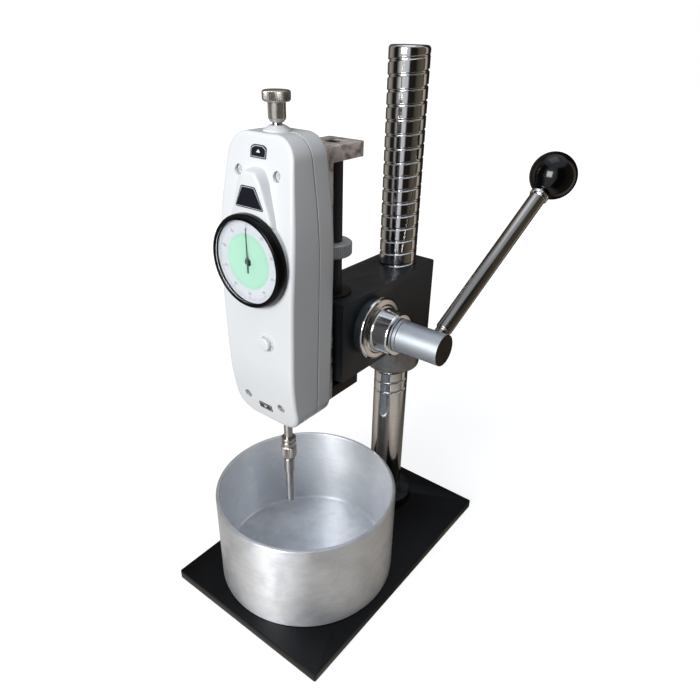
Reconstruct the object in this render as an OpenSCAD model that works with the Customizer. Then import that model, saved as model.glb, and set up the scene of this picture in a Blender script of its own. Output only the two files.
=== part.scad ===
// Concrete penetrometer: a hand-lever stand with a push-pull dial gauge, a needle and a mortar pot.
// All lengths are millimetres. The origin is the centre of the base plate's underside, +Z is up.
// The dial faces -Y, the lever is on the +X side and the column stands at the back, towards +Y.

/* [Base] */
// Width of the base plate, left to right
base_w = 152; // [150:1:220]
// Thickness of the base plate
base_t = 8; // [7:0.5:14]
// Radius of the base plate's corners
base_corner_r = 1.5; // [0.5:0.5:12]

/* [Column] */
// Diameter of the column
column_d = 30; // [26:0.5:34]
// Height of the column above the base plate
column_h = 402; // [370:1:520]
// Column axis from the rear edge of the base plate
column_inset = 41; // [36:1:60]
// Rounding of the column's top edge
column_edge_r = 2.5; // [1:0.5:4]
// Pitch of the helical groove
groove_pitch = 10; // [8:0.5:14]
// Width of the helical groove at the surface
groove_w = 2.6; // [1.6:0.1:3.6]
// Depth of the helical groove
groove_depth = 0.9; // [0.5:0.1:1.4]
// Plain length above the groove
groove_top_gap = 3; // [3:0.5:20]
// Plain length below the groove
groove_bottom_gap = 115; // [60:1:118]
// Diameter of the flange at the column's foot
foot_d = 51.5; // [44:0.5:70]
// Height of the flange at the column's foot
foot_h = 6; // [4:0.5:10]
// Thread diameter of the bolt that holds the column
column_bolt_d = 10; // [8:1:12]

/* [Head] */
// Underside of the head above the base plate
head_height = 180.5; // [178:0.5:210]
// Width of the head block
head_w = 45; // [42:1:60]
// Height of the head block
head_h = 62; // [60:1:80]
// Wall of the head behind the column
head_back_wall = 9; // [6:0.5:16]
// Head block in front of the rod's axis
head_nose = 15; // [12:0.5:15.5]
// Radius of the head's rear vertical edges
head_corner_r = 5; // [1:0.5:8]
// Rod axis in front of the column axis
rod_to_column = 84.5; // [80:0.5:96]
// Height of the collar nut under the head
height_nut_h = 32; // [24:1:40]
// Diameter of the collar nut under the head
height_nut_d = 48; // [42:1:56]

/* [Rack and pinion] */
// Diameter of the rack rod
rod_d = 14; // [13.5:0.5:16]
// Free length of the rod between the two arms
rod_len = 162.3; // [155:0.1:190]
// Gear module of rack and pinion
gear_module = 1.5; // [1.25:0.25:1.5]
// Teeth on the pinion
pinion_teeth = 19; // [18:1:20]
// Pinion axis above the head's underside
pinion_height = 34.5; // [30:0.5:36]
// Diameter of the pinion shaft
shaft_d = 16; // [14:0.5:17]
// Needle travel down to the stop: approach and 25 mm penetration
stop_travel = 27; // [20:0.5:32]
// Diameter of the knurled stop nut
stop_nut_d = 28; // [24:0.5:34]
// Height of the knurled stop nut
stop_nut_h = 10; // [6:0.5:12]

/* [Lever] */
// Diameter of the black boss on the side of the head
side_boss_d = 44; // [40:1:44]
// Diameter of the polished flange on the boss
hub_flange_d = 48; // [44:1:52]
// Diameter of the polished barrel
barrel_d = 33; // [28:0.5:36]
// Reach of the barrel from the side of the head
barrel_len = 25.5; // [18:0.5:32]
// Diameter of the turned hub
hub_d = 23.2; // [20:0.2:28]
// Length of the turned hub
hub_len = 36.7; // [30:0.1:44]
// Lever axis back from the hub's outer face
lever_inset = 10.3; // [8:0.1:14]
// Angle of the lever above the horizontal at rest
lever_angle = 43; // [25:1:60]
// Lean of the lever away from the head
lever_lean = 9.5; // [0:0.5:14]
// Hub axis to the centre of the ball
lever_len = 155; // [120:1:200]
// Diameter of the lever rod
lever_d = 12; // [10:0.5:12]
// Diameter of the ball knob
ball_d = 34; // [30:1:40]

/* [Bracket] */
// Width of the bracket
bracket_w = 30; // [28:1:36]
// Thickness of the bracket's plates
bracket_t = 9.5; // [8:0.5:12]
// Reach of the arms behind the rod axis
arm_reach = 15; // [12:0.5:18]
// Gap between the lower arm and the head at rest
arm_gap = 5.3; // [2:0.1:8]
// Gauge axis in front of the rod axis
gauge_to_rod = 50; // [49:0.5:60]

/* [Gauge] */
// Half width of the gauge at its foot
gauge_half_bottom = 28.3; // [27:0.1:31]
// Half width of the gauge across the dial
gauge_half_mid = 31.9; // [31:0.1:34]
// Half width of the gauge at its shoulders
gauge_half_top = 25; // [23:0.1:28]
// Height of the gauge body
gauge_h = 192; // [190:0.5:200]
// Widest point below the gauge's top
gauge_mid_drop = 57; // [52:1:62]
// Corner radius of the gauge body, front view
gauge_corner_r = 15; // [12:0.5:17]
// Depth of the front cover
front_depth = 25.3; // [25.3:0.1:26]
// Depth of the rear cover
rear_depth = 15; // [14:0.5:18]
// Rounding of the covers' long edges
cover_edge_r = 3; // [2:0.5:4]
// How far the front falls back at the top
crown_top = 11.5; // [8:0.5:11.5]
// How far the front falls back at the foot
crown_foot = 8; // [4:0.5:8]
// Gauge foot above the bracket's underside
gauge_lift = 0.7; // [0:0.1:4]
// Dial centre below the gauge's top
dial_drop = 72; // [70:0.5:75]
// Outer diameter of the bezel
bezel_d = 58; // [56:0.5:60]
// Visible diameter of the dial
dial_d = 49; // [46:0.5:50]
// Front of the bezel before the front cover
bezel_depth = 7.2; // [7:0.1:9]
// Travel of the plunger at full load
plunger_travel = 9.5; // [6:0.5:9.5]

/* [Needle] */
// Diameter of the plunger shaft
plunger_d = 6.4; // [6:0.1:7]
// Plunger showing between gauge and chuck
plunger_out = 24.3; // [20:0.1:36]
// Length of the needle holder
holder_len = 12.7; // [10:0.1:20]
// Diameter of the needle, 30 square mm of face
needle_d = 6.18; // [5:0.01:8]
// Free length of the needle
needle_len = 28; // [26:0.5:40]

/* [Pot] */
// Outer diameter of the pot
pot_d = 146; // [120:1:146]
// Outer height of the pot
pot_h = 80; // [60:1:82]
// Wall of the pot
pot_wall = 3; // [2:0.5:5]
// Floor of the pot
pot_floor = 5; // [3:0.5:8]
// Pot wall from the front edge of the base plate
pot_inset = 8; // [4:1:12]
// Pot wall to the flange at the column's foot
pot_to_foot = 14.25; // [10:0.25:30]
// Pot centre to the side of the needle
pot_shift = -2.5; // [-3:0.5:2]

/* [Fits] */
// Radial clearance of a running fit
run_fit = 0.08; // [0.05:0.01:0.1]
// Radial clearance of a screw in its thread
screw_fit = 0.05; // [0.02:0.01:0.1]
// Gap between faces that pass each other
face_gap = 0.3; // [0.2:0.05:0.4]

/* [Hidden] */
$fn = 64;
sink = 0.01;

base_l = pot_inset + pot_d + pot_to_foot + foot_d / 2 + column_inset;
column_y = base_l / 2 - column_inset;
column_top = base_t + column_h;
bolt_head_d = 1.6 * column_bolt_d;
bolt_head_h = 4;
bolt_reach = 18;
groove_z0 = base_t + groove_bottom_gap;
groove_z1 = column_top - groove_top_gap;
groove_segments = 20;
groove_r = column_d / 2 - 2 * sink;
groove_start = 90;
groove_first = groove_z0 + 3;
groove_turns = floor((groove_z1 + 0.35 - groove_w / 2 - groove_first) / groove_pitch);
rod_y = column_y - rod_to_column;
head_z0 = base_t + head_height;
head_z1 = head_z0 + head_h;
head_y0 = rod_y - head_nose;
head_y1 = column_y + column_d / 2 + head_back_wall;
head_side = head_w / 2;
lock_z = head_z0 + head_h / 2;
lock_d = 8;
lock_head_h = 8;
lock_reach = 4;
height_nut_edge = 7;
groove_pin_d = 5;
groove_pin_turn = round((head_z0 - face_gap - height_nut_h / 2 - groove_first) / groove_pitch);
groove_pin_z = groove_first + groove_pitch * groove_pin_turn;

pinion_r = gear_module * pinion_teeth / 2;
pinion_tip_r = pinion_r + gear_module;
rack_flat = rod_d / 2 - 0.25;
rack_line = rack_flat - gear_module;
pinion_y = rod_y + rack_line + pinion_r;
pinion_z = head_z0 + pinion_height;
gear_backlash = 0.2;
gear_angle = 20;
cavity_r = pinion_tip_r + 0.75;
pinion_x0 = -10;
pinion_x1 = 12;

bush_d = 20;
bush_flange_d = 27.6;
bush_flange_t = 1.5;
bush_len = 13;
stop_z = head_z1 + bush_flange_t + stop_travel;

side_boss_t = 6;
flange_t = 3.5;
flange_edge = 1.5;
barrel_edge = 1.5;
barrel_x1 = head_side + barrel_len;
hub_x0 = barrel_x1 + face_gap;
hub_x1 = hub_x0 + hub_len;
lever_x = hub_x1 - lever_inset;
spigot_d = 12;
spigot_len = 17;
shaft_bush_d = shaft_d + 6;
cap_t = 3;
set_screw_d = 5;
lever_neck_d = lever_d - 2;
socket_r = 3;
neck_r1 = hub_d / 2 + 2.5;
lever_nut_h = 5;
lever_nut_r0 = lever_len - ball_d / 2 - lever_nut_h + 0.8;

bracket_z0 = head_z0 - arm_gap - bracket_t;
rod_z0 = bracket_z0 + bracket_t;
rod_z1 = rod_z0 + rod_len;
bracket_z1 = rod_z1 + bracket_t;
bracket_y1 = head_y0 - 2.5;
bracket_y0 = bracket_y1 - bracket_t;
arm_y1 = rod_y + arm_reach;
rod_screw_d = 6;
rod_screw_head_d = 10;
rod_screw_head_h = 6;
tap_depth = 14;
m5_d = 5;
m5_head_d = 8.5;
m5_head_h = 5;
m5_reach = 9;

gauge_y = rod_y - gauge_to_rod;
gauge_z0 = bracket_z0 + gauge_lift;
gauge_z1 = gauge_z0 + gauge_h;
gauge_rear = gauge_y + rear_depth;
gauge_front = gauge_y - front_depth;
cover_wall = 3;
frame_y1 = gauge_rear - cover_wall;
frame_y0 = frame_y1 - 3;
seat_y0 = gauge_y - 6;
bridge_rear = gauge_y - 4.2;
bridge_front = gauge_y - 11;
mount_plate_w = 26;
mount_x = 7.5;
mount_low = gauge_z0 + 48;
mount_high = gauge_z0 + 128;
gauge_mid_h = gauge_h - gauge_mid_drop;
gauge_side_r = 300;
belly_low = 50;
belly_high = gauge_h - 110;
cavity_half = 24;
cavity_back = 15;
cavity_front = 8.5;
boss_d = bezel_d - 2;
skirt_d = dial_d + 0.8;
dial_seat = 2.2;
case_screw_d = 3;
case_head_d = 5.5;
case_head_y = 15;
collar_sleeve_d = 8.6;
keystone_top = gauge_h - 18;
keystone_low = gauge_h - 50;
keystone_side = [[5.5, keystone_top], [9.5, keystone_top - 5],
    [19.5, keystone_low], [19.5, keystone_low - 27]];
label_top = keystone_top - 9.5;
label_foot = label_top - 13;
top_plate_h = gauge_h - 9.8;
foot_plate_h = 13;
keystone_back = [for (k = [3:-1:0]) keystone_side[k]];
dial_z = gauge_z1 - dial_drop;
bezel_y0 = gauge_front - bezel_depth;
boss_t = 0.2;
boss_root = 8;
boss_y = gauge_front - boss_t;
key_y = gauge_front - 0.2;
key_root = 9;
screw_x = 15.5;
screw_low = gauge_z0 + 18;
screw_high = gauge_z1 - 21.5;
button_x = 8.5;
button_post_z = -7;
button_travel = 2;
seat_t = 2;
button_z = dial_z - 53.5;
button_d = 9;
button_ring_d = 11.4;
button_stem_d = 4;
button_back = gauge_front + cavity_front + 1.3;
top_nut_z = gauge_z1 + 4.5;

pointer_module = 0.2;
pointer_teeth = 18;
pointer_pitch_r = pointer_module * pointer_teeth / 2;
arbor_d = 1.6;
cross_z = dial_z + 8.5;
cross_h = 6;
stem_d = 5.8;
spring_z1 = gauge_z1 - 12.5;

chuck_z1 = gauge_z0 - plunger_out;
chuck_ring_h = 6.9;
chuck_z0 = chuck_z1 - chuck_ring_h;
chuck_nut_h = 10.6;
nut_z0 = chuck_z0 - chuck_nut_h;
holder_neck = 1.9;
holder_z1 = nut_z0 - holder_neck;
holder_z0 = holder_z1 - holder_len;
needle_z0 = holder_z0 - needle_len;
shank_d = 4;

pot_y = -base_l / 2 + pot_inset + pot_d / 2;

// Angle, in degrees, whose involute unrolls to the radius r from the base circle rb
function unroll(rb, r) = let (a = acos(rb / r)) tan(a) * 180 / PI - a;

// One flank of a gear tooth as [radius, half angle] pairs from root to tip
function flank(m, teeth, backlash) =
    let (rp = m * teeth / 2,
         rb = rp * cos(gear_angle),
         ra = rp + m,
         rf = rp - 1.25 * m,
         half = (PI * m / 2 - backlash / 2) / 2 / rp * 180 / PI + unroll(rb, rp),
         steps = 3)
    concat([[rf, half]],
           [for (i = [0:steps]) let (r = rb + 0.001 + (ra - rb - 0.001) * i / steps)
                [r, half - unroll(rb, r)]]);

// Spur gear in the XY plane, extruded along Z, with one tooth centred on +X
module spur_gear(m, teeth, width, backlash) {
    side = flank(m, teeth, backlash);
    n = len(side);
    linear_extrude(width)
    polygon([for (t = [0:teeth - 1]) for (k = [0:2 * n - 1])
        let (p = k < n ? side[k] : side[2 * n - 1 - k],
             a = t * 360 / teeth + (k < n ? -p[1] : p[1]))
        [p[0] * cos(a), p[0] * sin(a)]]);
}

// One gap of a rack in the XY plane: X is along the rack, Y points out of the teeth
module rack_gap(m, backlash) {
    gap = PI * m / 2 + backlash / 2;
    rise = m + 1;
    top = gap / 2 + rise * tan(gear_angle);
    root = gap / 2 - 1.25 * m * tan(gear_angle);
    polygon([[-root, -1.25 * m], [root, -1.25 * m], [top, rise], [-top, rise]]);
}

// Arc at the corner p between lines whose outward normals point at angles na and nb
function corner_arc(p, r, na, nb, steps) =
    let (mid = (na + nb) / 2,
         reach = r / cos((nb - na) / 2))
    [for (i = [0:steps])
        [p[0] - reach * cos(mid), p[1] - reach * sin(mid), r, na + (nb - na) * i / steps]];

side_low = atan2(gauge_half_bottom - gauge_half_mid, gauge_mid_h);
side_high = atan2(gauge_half_mid - gauge_half_top, gauge_h - gauge_mid_h);

// Point of the side at height h, given like the points of an arc
function side_point(h) =
    let (low = h < gauge_mid_h,
         share = low ? h / gauge_mid_h : (gauge_h - h) / (gauge_h - gauge_mid_h),
         end = low ? gauge_half_bottom : gauge_half_top,
         a = low ? side_low : side_high)
    [end + (gauge_half_mid - end) * share - gauge_corner_r * cos(a), h - gauge_corner_r * sin(a),
        gauge_corner_r, a];

// Right half of the gauge's outline from foot to top: [centre x, centre z, radius, direction]
gauge_arcs = concat(
    corner_arc([gauge_half_bottom, 0], gauge_corner_r, -90, side_low, 6),
    [for (share = [0.18, 0.25, 0.34, 0.46, 0.59, 0.7]) side_point(share * gauge_mid_h)],
    corner_arc([gauge_half_mid, gauge_mid_h], gauge_side_r, side_low, side_high, 6),
    [side_point(gauge_h - 1.65 * gauge_corner_r)],
    corner_arc([gauge_half_top, gauge_h], gauge_corner_r, side_high, 90, 6));

// Whole outline drawn in from the edge by inset, anticlockwise in X and Z
function gauge_outline(inset) =
    let (half = [for (a = gauge_arcs)
            [a[0] + (a[2] - inset) * cos(a[3]), a[1] + (a[2] - inset) * sin(a[3])]],
         n = len(half))
    concat(half, [for (k = [n - 1:-1:0]) [-half[k][0], half[k][1]]]);

// Share of the front's fall reached at height z: the face is fullest from belly_low to belly_high
function crown_share(z) =
    z > belly_high ? (z - belly_high) / (gauge_h - belly_high)
    : z < belly_low ? (belly_low - z) / belly_low : 0;

// How far the face has fallen back at height z above the gauge's foot
function crown(z) = (z > belly_high ? crown_top : crown_foot) * pow(crown_share(z), 2);

// How far the face leans back for each mm up at height z
function crown_slope(z) =
    z > belly_high ? 2 * crown_top * crown_share(z) / (gauge_h - belly_high)
    : -2 * crown_foot * crown_share(z) / belly_low;

// Half of the gauge's body from the seam towards +Y, with rounded long edges
module cover_blank(depth, crowned) {
    steps = 4;
    rings = concat([[0, 0]],
        [for (i = [0:steps]) let (a = 90 * i / steps)
            [cover_edge_r * (1 - cos(a)), depth - cover_edge_r * (1 - sin(a))]]);
    half = len(gauge_arcs);
    count = 2 * half;
    last = len(rings) - 1;
    pts = [for (r = rings) for (p = gauge_outline(r[0]))
        [p[0], r[1] - (crowned ? crown(p[1]) * r[1] / depth : 0), p[1]]];
    sides = [for (j = [0:last - 1]) for (k = [0:count - 1])
        let (a = j * count + k,
             b = j * count + (k + 1) % count,
             c = b + count,
             d = a + count)
        for (f = [[a, b, c], [a, c, d]]) f];
    face = [for (k = [0:half - 2])
        let (a = last * count + k,
             d = last * count + count - 1 - k)
        for (f = [[a, a + 1, d - 1], [a, d - 1, d]]) f];
    seam = [[for (k = [count - 1:-1:0]) k]];
    polyhedron(points = pts, faces = concat(seam, sides, face));
}

// Cylinder that runs towards -Y from the given point
module front_pin(x, y, z, d, h) {
    translate([x, y, z]) rotate([90, 0, 0]) cylinder(d = d, h = h);
}

// Cylinder that runs towards +X from the given point
module side_pin(x, y, z, d, h) {
    translate([x, y, z]) rotate([0, 90, 0]) cylinder(d = d, h = h);
}

// Block given by its lowest and highest corners
module block(low, high) {
    translate(low) cube(high - low);
}

// Rectangle about the origin with true arcs at its corners
module rounded_rect(w, l, r) {
    square([w, l - 2 * r], center = true);
    square([w - 2 * r, l], center = true);
    for (x = [-1, 1]) for (y = [-1, 1])
        translate([x * (w / 2 - r), y * (l / 2 - r)]) circle(r);
}

// Half section of a turned piece whose upper outer edge is rounded
module rounded_profile(r, h, edge) {
    square([r, h - edge]);
    square([r - edge, h]);
    translate([r - edge, h - edge]) circle(edge);
}

// Disc with straight knurling round its edge
module knurled_disc(d, h, cuts) {
    linear_extrude(h)
    polygon([for (k = [0:2 * cuts - 1])
        let (r = k % 2 == 0 ? d / 2 : d / 2 - 0.35, a = k * 180 / cuts)
        [r * cos(a), r * sin(a)]]);
}

// Base and column

module base_plate() {
    color("#1c1c1f")
    difference() {
        linear_extrude(base_t) rounded_rect(base_w, base_l, base_corner_r);
        translate([0, column_y, -sink]) cylinder(d = column_bolt_d + 1, h = base_t + 1);
        translate([0, column_y, -sink]) cylinder(d = bolt_head_d + 1, h = bolt_head_h + face_gap + 2 * sink);
    }
}

module column_flange() {
    color("#232327")
    translate([0, column_y, base_t])
    rotate_extrude()
    difference() {
        rounded_profile(foot_d / 2, foot_h, 1.5);
        translate([0, -1]) square([column_d / 2 + screw_fit, foot_h + 2]);
    }
}

// Point of the grooved stretch: segment i round the column, row k up it
function groove_point(i, k) =
    let (turn = floor(k / 4),
         part = k % 4,
         s = turn + i / groove_segments,
         fade = min(1, 2 * s, 2 * (groove_turns - s)),
         cut = (part == 1 || part == 2) ? groove_depth * fade : 0,
         r = groove_r - cut,
         a = groove_start + 360 * i / groove_segments,
         z = groove_first + groove_pitch * s + groove_w * [-0.5, -0.25, 0.25, 0.5][part])
    [r * cos(a), r * sin(a), z];

// Column surface with the right-hand groove, closed flat above and below
module grooved_stretch() {
    n = groove_segments;
    rows = 4 * groove_turns;
    ring = [for (i = [0:n - 1]) let (a = groove_start + 360 * i / n)
        [groove_r * cos(a), groove_r * sin(a)]];
    low = [for (p = ring) [p[0], p[1], groove_z0 - 1]];
    high = [for (p = ring) [p[0], p[1], groove_z1 + 0.4]];
    first = [for (k = [0:rows + 3]) groove_point(0, k)];
    others = [for (i = [1:n - 1]) for (k = [0:rows - 1]) groove_point(i, k)];
    at_high = n;
    at_first = 2 * n;
    at_others = 2 * n + rows + 4;
    pts = concat(low, high, first, others);
    // Index of a grooved point; segment n is segment 0, one turn further up
    function at(i, k) = i == 0 ? at_first + k
        : i == n ? at_first + k + 4 : at_others + (i - 1) * rows + k;
    walls = [for (i = [0:n - 1]) for (k = [0:rows - 2])
        let (a = at(i, k), b = at(i, k + 1), c = at(i + 1, k + 1), d = at(i + 1, k))
        for (f = k % 2 == 1 ? [[a, b, c, d]] : [[a, b, c], [a, c, d]]) f];
    skirt = [for (i = [0:n - 2]) [i, at(i, 0), at(i + 1, 0), i + 1]];
    skirt_seam = [[n - 1, at(n - 1, 0), at(0, 4), at(0, 3), at(0, 2), at(0, 1), at(0, 0), 0]];
    crest = [for (i = [1:n - 1])
        [at(i, rows - 1), at_high + i, at_high + (i + 1) % n, at(i + 1, rows - 1)]];
    crest_seam = [[at(0, rows - 1), at(0, rows), at(0, rows + 1), at(0, rows + 2), at(0, rows + 3),
                   at_high, at_high + 1, at(1, rows - 1)]];
    floor_face = [[for (i = [0:n - 1]) i]];
    roof_face = [[for (i = [n - 1:-1:0]) at_high + i]];
    polyhedron(points = pts, faces = concat(walls, skirt, skirt_seam, crest, crest_seam,
        floor_face, roof_face));
}

module column() {
    color("#c9ccd2")
    translate([0, column_y, 0])
    difference() {
        union() {
            translate([0, 0, base_t]) cylinder(d = column_d, h = groove_bottom_gap);
            grooved_stretch();
            translate([0, 0, groove_z1])
            rotate_extrude() rounded_profile(column_d / 2, groove_top_gap, column_edge_r);
        }
        translate([0, 0, base_t - sink]) cylinder(d = column_bolt_d + 2 * screw_fit, h = bolt_reach + 2);
    }
}

module column_bolt() {
    color("#3a3a3e")
    translate([0, column_y, 0])
    difference() {
        union() {
            translate([0, 0, face_gap]) cylinder(d = bolt_head_d, h = bolt_head_h);
            translate([0, 0, face_gap]) cylinder(d = column_bolt_d, h = base_t + bolt_reach);
        }
        translate([0, 0, -sink]) cylinder(d = column_bolt_d * 0.7, h = bolt_head_h * 0.7, $fn = 6);
    }
}

// Pot

module pot() {
    color("#b9c0cb")
    translate([pot_shift, pot_y, base_t + face_gap / 10])
    rotate_extrude()
    difference() {
        union() {
            translate([0, 2]) square([pot_d / 2, pot_h - 2]);
            square([pot_d / 2 - 2, pot_h]);
            translate([pot_d / 2 - 2, 2]) circle(2);
        }
        union() {
            translate([-1, pot_floor + 3]) square([pot_d / 2 - pot_wall + 1, pot_h]);
            translate([-1, pot_floor]) square([pot_d / 2 - pot_wall - 2, pot_h]);
            translate([pot_d / 2 - pot_wall - 3, pot_floor + 3]) circle(3);
        }
        translate([-2, -1]) square([2, pot_h + 4]);
    }
}

// Head

module head_block() {
    color("#1b1b1e")
    difference() {
        union() {
            translate([0, 0, head_z0])
            linear_extrude(head_h) {
                translate([-head_side, head_y0]) square([head_w, head_y1 - head_y0 - head_corner_r]);
                translate([head_corner_r - head_side, head_y0])
                square([head_w - 2 * head_corner_r, head_y1 - head_y0]);
                for (x = [-1, 1])
                    translate([x * (head_side - head_corner_r), head_y1 - head_corner_r])
                    circle(head_corner_r);
            }
            side_pin(head_side - 1, pinion_y, pinion_z, side_boss_d, side_boss_t + 1);
        }
        translate([0, column_y, head_z0 - 1]) cylinder(d = column_d + 2 * run_fit, h = head_h + 2);
        translate([0, rod_y, head_z0 - 1]) cylinder(d = bush_d, h = head_h + 2);
        side_pin(pinion_x0 - 0.5, pinion_y, pinion_z, 2 * cavity_r, head_w);
        side_pin(-head_side - 1, pinion_y, pinion_z, shaft_d + 2 * run_fit, head_side);
        side_pin(-head_side - 1, column_y, lock_z, lock_d + 2 * screw_fit, head_side - column_d / 2 + 2);
    }
}

module rod_bush_upper() {
    color("#2b2b2e")
    translate([0, rod_y, head_z1])
    difference() {
        union() {
            cylinder(d = bush_flange_d, h = bush_flange_t);
            translate([0, 0, -bush_len]) cylinder(d = bush_d - 2 * screw_fit, h = bush_len + 1);
        }
        translate([0, 0, -bush_len - 1]) cylinder(d = rod_d + 2 * run_fit, h = bush_len + 10);
    }
}

module rod_bush_lower() {
    color("#b08d57")
    translate([0, rod_y, head_z0])
    difference() {
        cylinder(d = bush_d - 2 * screw_fit, h = bush_len);
        translate([0, 0, -1]) cylinder(d = rod_d + 2 * run_fit, h = bush_len + 2);
    }
}

module shaft_housing() {
    color("#d3d5d8")
    difference() {
        union() {
            side_pin(pinion_x1 + 0.5, pinion_y, pinion_z, 2 * (cavity_r - screw_fit),
                head_side + side_boss_t - pinion_x1);
            translate([head_side + side_boss_t, pinion_y, pinion_z]) rotate([0, 90, 0]) {
                cylinder(d = hub_flange_d, h = flange_t - flange_edge);
                translate([0, 0, flange_t - flange_edge])
                cylinder(d1 = hub_flange_d, d2 = hub_flange_d - 4, h = flange_edge);
            }
            side_pin(head_side + side_boss_t, pinion_y, pinion_z, barrel_d,
                barrel_len - side_boss_t - barrel_edge);
            translate([barrel_x1 - barrel_edge, pinion_y, pinion_z]) rotate([0, 90, 0])
            cylinder(d1 = barrel_d, d2 = barrel_d - 2 * barrel_edge, h = barrel_edge);
        }
        side_pin(0, pinion_y, pinion_z, shaft_bush_d, barrel_x1 + 1);
    }
}

module shaft_bush() {
    color("#b08d57")
    difference() {
        side_pin(pinion_x1 + 0.5, pinion_y, pinion_z, shaft_bush_d - 2 * screw_fit,
            barrel_x1 - pinion_x1 - 1);
        side_pin(0, pinion_y, pinion_z, shaft_d + 2 * run_fit, barrel_x1 + 1);
    }
}

module shaft_end_cap() {
    color("#202023") {
        side_pin(-head_side - cap_t, pinion_y, pinion_z, shaft_d + 10, cap_t);
        side_pin(-head_side - 1, pinion_y, pinion_z, shaft_d + 2 * run_fit - 2 * screw_fit, cap_t);
    }
}

module lock_screw() {
    color("#2c2c30")
    difference() {
        union() {
            side_pin(-head_side - lock_head_h, column_y, lock_z, lock_d * 1.6, lock_head_h);
            side_pin(-head_side - 1, column_y, lock_z, lock_d, lock_reach + 1);
        }
        translate([-head_side - lock_head_h - sink, column_y, lock_z]) rotate([0, 90, 0])
        cylinder(d = lock_d * 0.85, h = lock_head_h * 0.6, $fn = 6);
    }
}

module lock_pad() {
    color("#b9975b")
    side_pin(-head_side + lock_reach + 0.1, column_y, lock_z, lock_d,
        head_side - lock_reach - column_d / 2 - 0.2);
}

module height_nut() {
    color("#9da0a4")
    translate([0, column_y, head_z0 - face_gap])
    difference() {
        mirror([0, 0, 1])
        rotate_extrude() rounded_profile(height_nut_d / 2, height_nut_h, height_nut_edge);
        translate([0, 0, -height_nut_h - 1])
        cylinder(d = column_d + 2 * run_fit, h = height_nut_h + 2);
        translate([0, 0, groove_pin_z - head_z0 + face_gap]) rotate([-90, 0, 0])
        cylinder(d = groove_pin_d + 2 * screw_fit, h = height_nut_d);
    }
}

module groove_pin() {
    color("#55585c")
    translate([0, column_y, groove_pin_z]) rotate([-90, 0, 0]) {
        translate([0, 0, column_d / 2 + 0.4])
        cylinder(d = groove_pin_d, h = (height_nut_d - column_d) / 2 - 1.5);
        translate([0, 0, column_d / 2 - groove_depth / 2])
        cylinder(d = groove_w / 2, h = groove_depth / 2 + 1);
    }
}

// Lever and its shaft

module pinion_shaft() {
    color("#8e9196")
    union() {
        side_pin(-head_side + cap_t, pinion_y, pinion_z, shaft_d, barrel_x1 + head_side - cap_t);
        side_pin(0, pinion_y, pinion_z, spigot_d, hub_x0 + spigot_len);
        translate([pinion_x0, pinion_y, pinion_z])
        rotate([-90, 0, 0]) rotate([0, 90, 0])
        spur_gear(gear_module, pinion_teeth, pinion_x1 - pinion_x0, gear_backlash);
    }
}

// Frame of the lever: its local Z runs from the shaft's axis to the ball
module along_lever() {
    translate([lever_x, pinion_y, pinion_z])
    rotate([lever_angle, 0, 0]) rotate([0, 0, -lever_lean]) rotate([-90, 0, 0])
    children();
}

module hub() {
    color("#b4b9be")
    difference() {
        union() {
            side_pin(hub_x0, pinion_y, pinion_z, hub_d, hub_len);
            side_pin(hub_x0, pinion_y, pinion_z, hub_d + 2, 3);
        }
        side_pin(hub_x0 - 1, pinion_y, pinion_z, spigot_d + 2 * screw_fit, spigot_len + 1.5);
        along_lever() translate([0, 0, socket_r]) cylinder(d = lever_neck_d + 2 * screw_fit, h = hub_d);
        translate([hub_x0 + spigot_len / 2, pinion_y, pinion_z]) rotate([180, 0, 0])
        cylinder(d = set_screw_d + 2 * screw_fit, h = hub_d);
    }
}

module hub_set_screw() {
    color("#2f3033")
    translate([hub_x0 + spigot_len / 2, pinion_y, pinion_z - spigot_d / 2 - screw_fit])
    rotate([180, 0, 0])
    difference() {
        cylinder(d = set_screw_d, h = (hub_d - spigot_d) / 2 - 1);
        translate([0, 0, (hub_d - spigot_d) / 2 - 3]) cylinder(d = 2.5, h = 5, $fn = 6);
    }
}

module lever_rod() {
    color("#a9adb3")
    along_lever() {
        translate([0, 0, socket_r + 0.3]) cylinder(d = lever_neck_d, h = neck_r1 - socket_r);
        translate([0, 0, neck_r1]) cylinder(d = lever_d, h = lever_nut_r0 - neck_r1);
        translate([0, 0, neck_r1]) cylinder(d = lever_neck_d, h = lever_len - neck_r1);
    }
}

module lever_nut() {
    color("#d6d8db")
    along_lever()
    translate([0, 0, lever_nut_r0])
    difference() {
        cylinder(d = lever_d + 2.6, h = lever_nut_h, $fn = 6);
        translate([0, 0, -1]) cylinder(d = lever_neck_d + 2 * screw_fit, h = lever_nut_h + 2);
    }
}

module lever_ball() {
    color("#17171a")
    along_lever()
    difference() {
        translate([0, 0, lever_len]) sphere(d = ball_d);
        translate([-ball_d, -ball_d, 0]) cube([2 * ball_d, 2 * ball_d, lever_nut_r0 + lever_nut_h]);
        cylinder(d = lever_neck_d + 2 * screw_fit, h = lever_len + 1);
    }
}

// Rack rod and bracket

module rack_rod() {
    rack_step = PI * gear_module;
    below = ceil((arm_gap + 2 * pinion_r / 2) / rack_step);
    above = ceil((stop_travel + pinion_r) / rack_step);
    color("#26262a")
    difference() {
        translate([0, rod_y, rod_z0]) cylinder(d = rod_d, h = rod_len);
        block([-rod_d, rod_y + rack_flat, pinion_z - (below + 0.5) * rack_step],
            [rod_d, rod_y + rod_d, pinion_z + (above + 0.5) * rack_step]);
        for (k = [-below:above])
            translate([rod_d, rod_y + rack_line, pinion_z + k * rack_step]) rotate([0, -90, 0])
            linear_extrude(2 * rod_d) rack_gap(gear_module, gear_backlash);
        for (z = [rod_z0 - 1, rod_z1 - tap_depth])
            translate([0, rod_y, z]) cylinder(d = rod_screw_d + 2 * screw_fit, h = tap_depth + 1);
    }
}

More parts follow.
